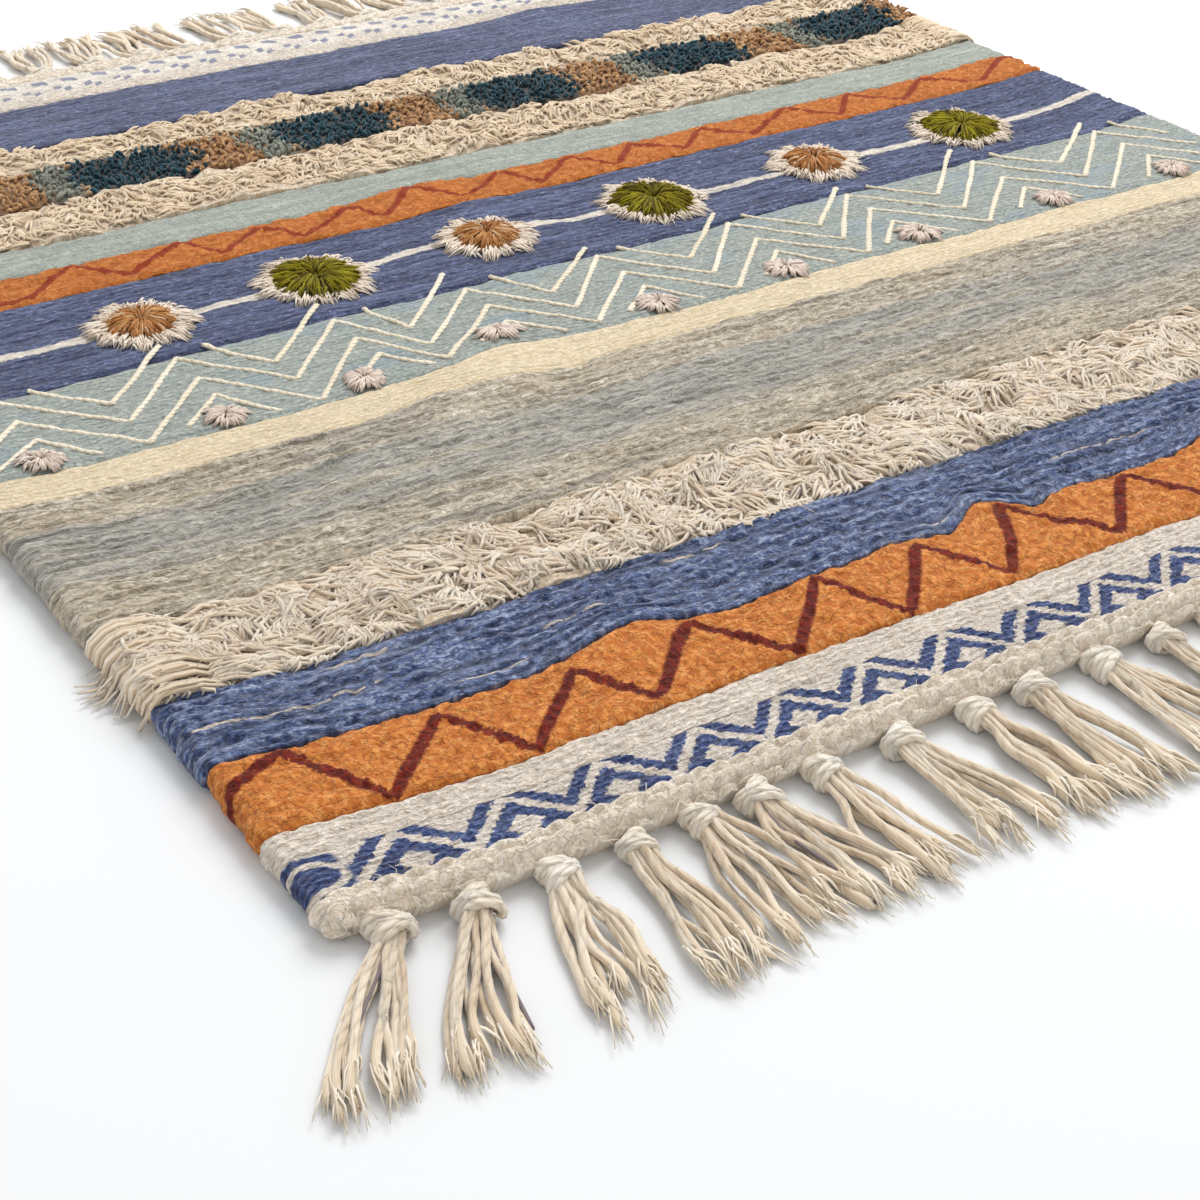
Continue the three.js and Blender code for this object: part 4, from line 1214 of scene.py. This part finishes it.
def tassels(name, knots, side, edge, counts, leans, spreads, seed, node, rings, dark_ones=()):
    """A row of tassels. side is -1 at the near end and 1 at the far one, edge the d they hang from, rings
    how many points each strand has."""
    rng = np.random.default_rng(seed)
    strands, shades, wraps, wrap_sizes, greys = [], [], [], [], []
    t = np.linspace(0, 1, rings)
    for index, x0 in enumerate(knots):
        lean, spread = leans[index], spreads[index]
        head = edge + float(lie(x0, edge if side < 0 else 0.6))
        reach = FRINGE_LENGTH * rng.uniform(0.95, 1.03)
        size = rng.uniform(0.9, 1.1)
        for strand in range(counts[index]):
            place = (strand + 0.5) / counts[index] * 2 - 1
            own = reach * rng.uniform(0.86, 1.04)
            start_x = x0 + place * 0.0034
            end_x = x0 + lean + place * spread / 2 + rng.normal(0, 0.0026)
            x = start_x + (end_x - start_x) * t * (1 + 0.45 * (1 - t))
            sway = rng.uniform(0.0006, 0.0019) * np.sin(t * rng.uniform(4, 11) + rng.uniform(0, 6.28))
            x = x + sway * np.minimum(t * 4, 1)
            d = head + side * (0.006 + (own - 0.006) * t)
            height = rng.uniform(0.0, 0.0034)
            z = 0.0014 + height * (0.4 + 0.6 * np.sin(t * 3.1))
            z = z + (0.0044 - 0.0010 * abs(place)) * np.exp(-t * 6.5)
            line = np.stack([MIDDLE + x, NEAR + d, np.maximum(z, 0.0012)], 1)
            if (index, strand) in dark_ones:
                greys.append(line - [0, 0, 0.0005])
            else:
                strands.append(line)
                shades.append(rng.uniform(0.0, 1.0))
        turns, sizes = wound(x0, head, side, 1 if index % 2 else -1, size, rings - 6, rng)
        wraps += turns
        wrap_sizes += sizes
    path = np.array(strands)
    taper = np.interp(t, [0.0, 0.7, 0.86, 0.95, 1.0], [1.0, 1.0, 1.25, 1.1, 0.4])[None, :]
    radii = STRAND_RADIUS * rng.uniform(0.75, 1.15, len(path))[:, None] * taper
    radii = radii * (1 + 0.14 * patches(t[None, :] * 14, np.arange(len(path))[:, None] * 3.0, seed + 1))
    up = np.tile([0.0, 0.0, 1.0], (len(path), 1))
    roots = path[:, 0, :2] - [MIDDLE, NEAR]
    fringe = ends(name, path, radii, 5, up, np.array(shades), roots, node, fringe_cotton)
    wrap_path = np.array(wraps)
    along = np.tile([0.0, 1.0, 0.0], (len(wrap_path), 1))
    lumps = patches(wrap_path[:, :, 0] / 0.002, wrap_path[:, :, 2] / 0.002, seed)
    wrap_radii = np.array(wrap_sizes)[:, None] * (1.05 + 0.16 * lumps)
    wrap_roots = wrap_path[:, 0, :2] - [MIDDLE, NEAR]
    knot = ends(
        name + "_knots", wrap_path, wrap_radii, 5, along, rng.uniform(0.3, 0.9, len(wrap_path)), wrap_roots,
        node, knot_cotton,
    )
    pieces = [fringe, knot, frayed_tips(name + "_tips", path, wrap_path, side, rings, node, rng)]
    if greys:
        grey = np.array(greys)
        grey_radii = np.full(grey.shape[:2], 0.0007)
        grey_shades = np.full(len(grey), 0.5)
        pieces.append(ends(
            name + "_dark", grey, grey_radii, 5, up[:len(grey)], grey_shades,
            grey[:, 0, :2] - [MIDDLE, NEAR], node, dark_cotton,
        ))
    return pieces


NEAR_KNOTS = [0.0155, 0.054, 0.0965, 0.1355, 0.173, 0.2035, 0.243, 0.2885, 0.337, 0.373, 0.4205, 0.462]
NEAR_LEANS = [-0.032, -0.024, -0.009, -0.003, 0.002, 0.005, 0.002, 0.004, 0.003, 0.003, 0.005, 0.004]
knots = np.array(NEAR_KNOTS) * 0.6 - 0.3
more = knots[-1] + np.arange(1, 13) * (0.291 - knots[-1]) / 12
rng = np.random.default_rng(11)
knots = np.concatenate([knots, more + np.append(rng.uniform(-0.002, 0.002, 11), 0)])
leans = np.concatenate([NEAR_LEANS, rng.uniform(-0.004, 0.006, 12)])
spreads = rng.uniform(0.019, 0.026, 24) + np.append([0.005, 0.003], np.zeros(22))
near_fringe = tassels(
    "near_fringe", knots, -1, 0.007, rng.integers(10, 13, 24), leans, spreads, 12, "fringe_near", 18,
    [(0, 4), (1, 8), (5, 2)],
)
near_fuzz = stray_hairs(
    "near_fuzz", 0.0060, HEADING_END, 0.0068, 600, 27, "cloth", frayed_cotton,
    (0.003, 0.006), 0.0022,
)

# The far fringe: the same warp ends, gathered in tassels and knotted like the near ones, with fewer
# strands in each.
knots = np.linspace(-0.291, 0.291, 24) + rng.uniform(-0.0015, 0.0015, 24)
far_fringe = tassels(
    "far_fringe", knots, 1, CLOTH_END, rng.integers(7, 9, 24), rng.uniform(-0.005, 0.005, 24),
    rng.uniform(0.020, 0.028, 24), 13, "fringe_far", 15,
)

# The room: a white floor that runs out of view, even light from all round, and a broad soft lamp high
# beyond the right corner that lays a faint shadow to the left.
floor_form = bmesh.new()
bmesh.ops.create_grid(floor_form, x_segments=1, y_segments=1, size=6)
floor_mesh = bpy.data.meshes.new("floor")
floor_form.to_mesh(floor_mesh)
floor_form.free()
floor = bpy.data.objects.new("floor", floor_mesh)
bpy.context.collection.objects.link(floor)
floor_paper = Yarn("floor_paper")
grain = floor_paper.noise(0.0, 0.0, 0.0, 1.0)
floor_tone = floor_paper.mix(grain, (0.735, 0.745, 0.755, 1), (0.745, 0.755, 0.765, 1))
floor_mesh.materials.append(floor_paper.finish(floor_tone, grain, 0.0001, 0.0))
floor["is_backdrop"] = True

world = bpy.data.worlds.new("room")
world.use_nodes = True
world.node_tree.nodes["Background"].inputs["Color"].default_value = (1.0, 1.0, 1.0, 1.0)
world.node_tree.nodes["Background"].inputs["Strength"].default_value = 0.80
bpy.context.scene.world = world

lamp_data = bpy.data.lights.new("lamp", "AREA")
lamp_data.shape = "SQUARE"
lamp_data.size = 1.6
lamp_data.energy = 64
lamp = bpy.data.objects.new("lamp", lamp_data)
lamp.location = (1.3, 1.0, 1.9)
lamp.rotation_euler = (-lamp.location).to_track_quat("-Z", "Y").to_euler()
bpy.context.collection.objects.link(lamp)
lamp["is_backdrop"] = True

# The camera stands low before the rug's near left corner and looks over it, leaning a little to one side.
# pitch, roll and yaw are how far it looks down, how far it leans and how far it turns from the warp.
camera_data = bpy.data.cameras.new("camera")
camera_data.lens = 72
camera_data.sensor_width = 36
camera = bpy.data.objects.new("camera", camera_data)
bpy.context.collection.objects.link(camera)
pitch, roll, yaw = (math.radians(angle) for angle in (31.39, 1.35, 34.43))
ahead = np.array([math.sin(yaw) * math.cos(pitch), math.cos(yaw) * math.cos(pitch), -math.sin(pitch)])
level_right = np.array([math.cos(yaw), -math.sin(yaw), 0.0])
level_up = np.cross(level_right, ahead)
right = math.cos(roll) * level_right + math.sin(roll) * level_up
up = math.cos(roll) * level_up - math.sin(roll) * level_right
place = (MIDDLE - 0.5172, NEAR - 0.4140, 0.3935)
rows = [[right[i], up[i], -ahead[i], place[i]] for i in range(3)]
camera.matrix_world = Matrix([*rows, [0, 0, 0, 1]])
bpy.context.scene.camera = camera
bpy.context.scene.view_settings.view_transform = "Standard"

bpy.context.view_layer.update()
low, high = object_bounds()
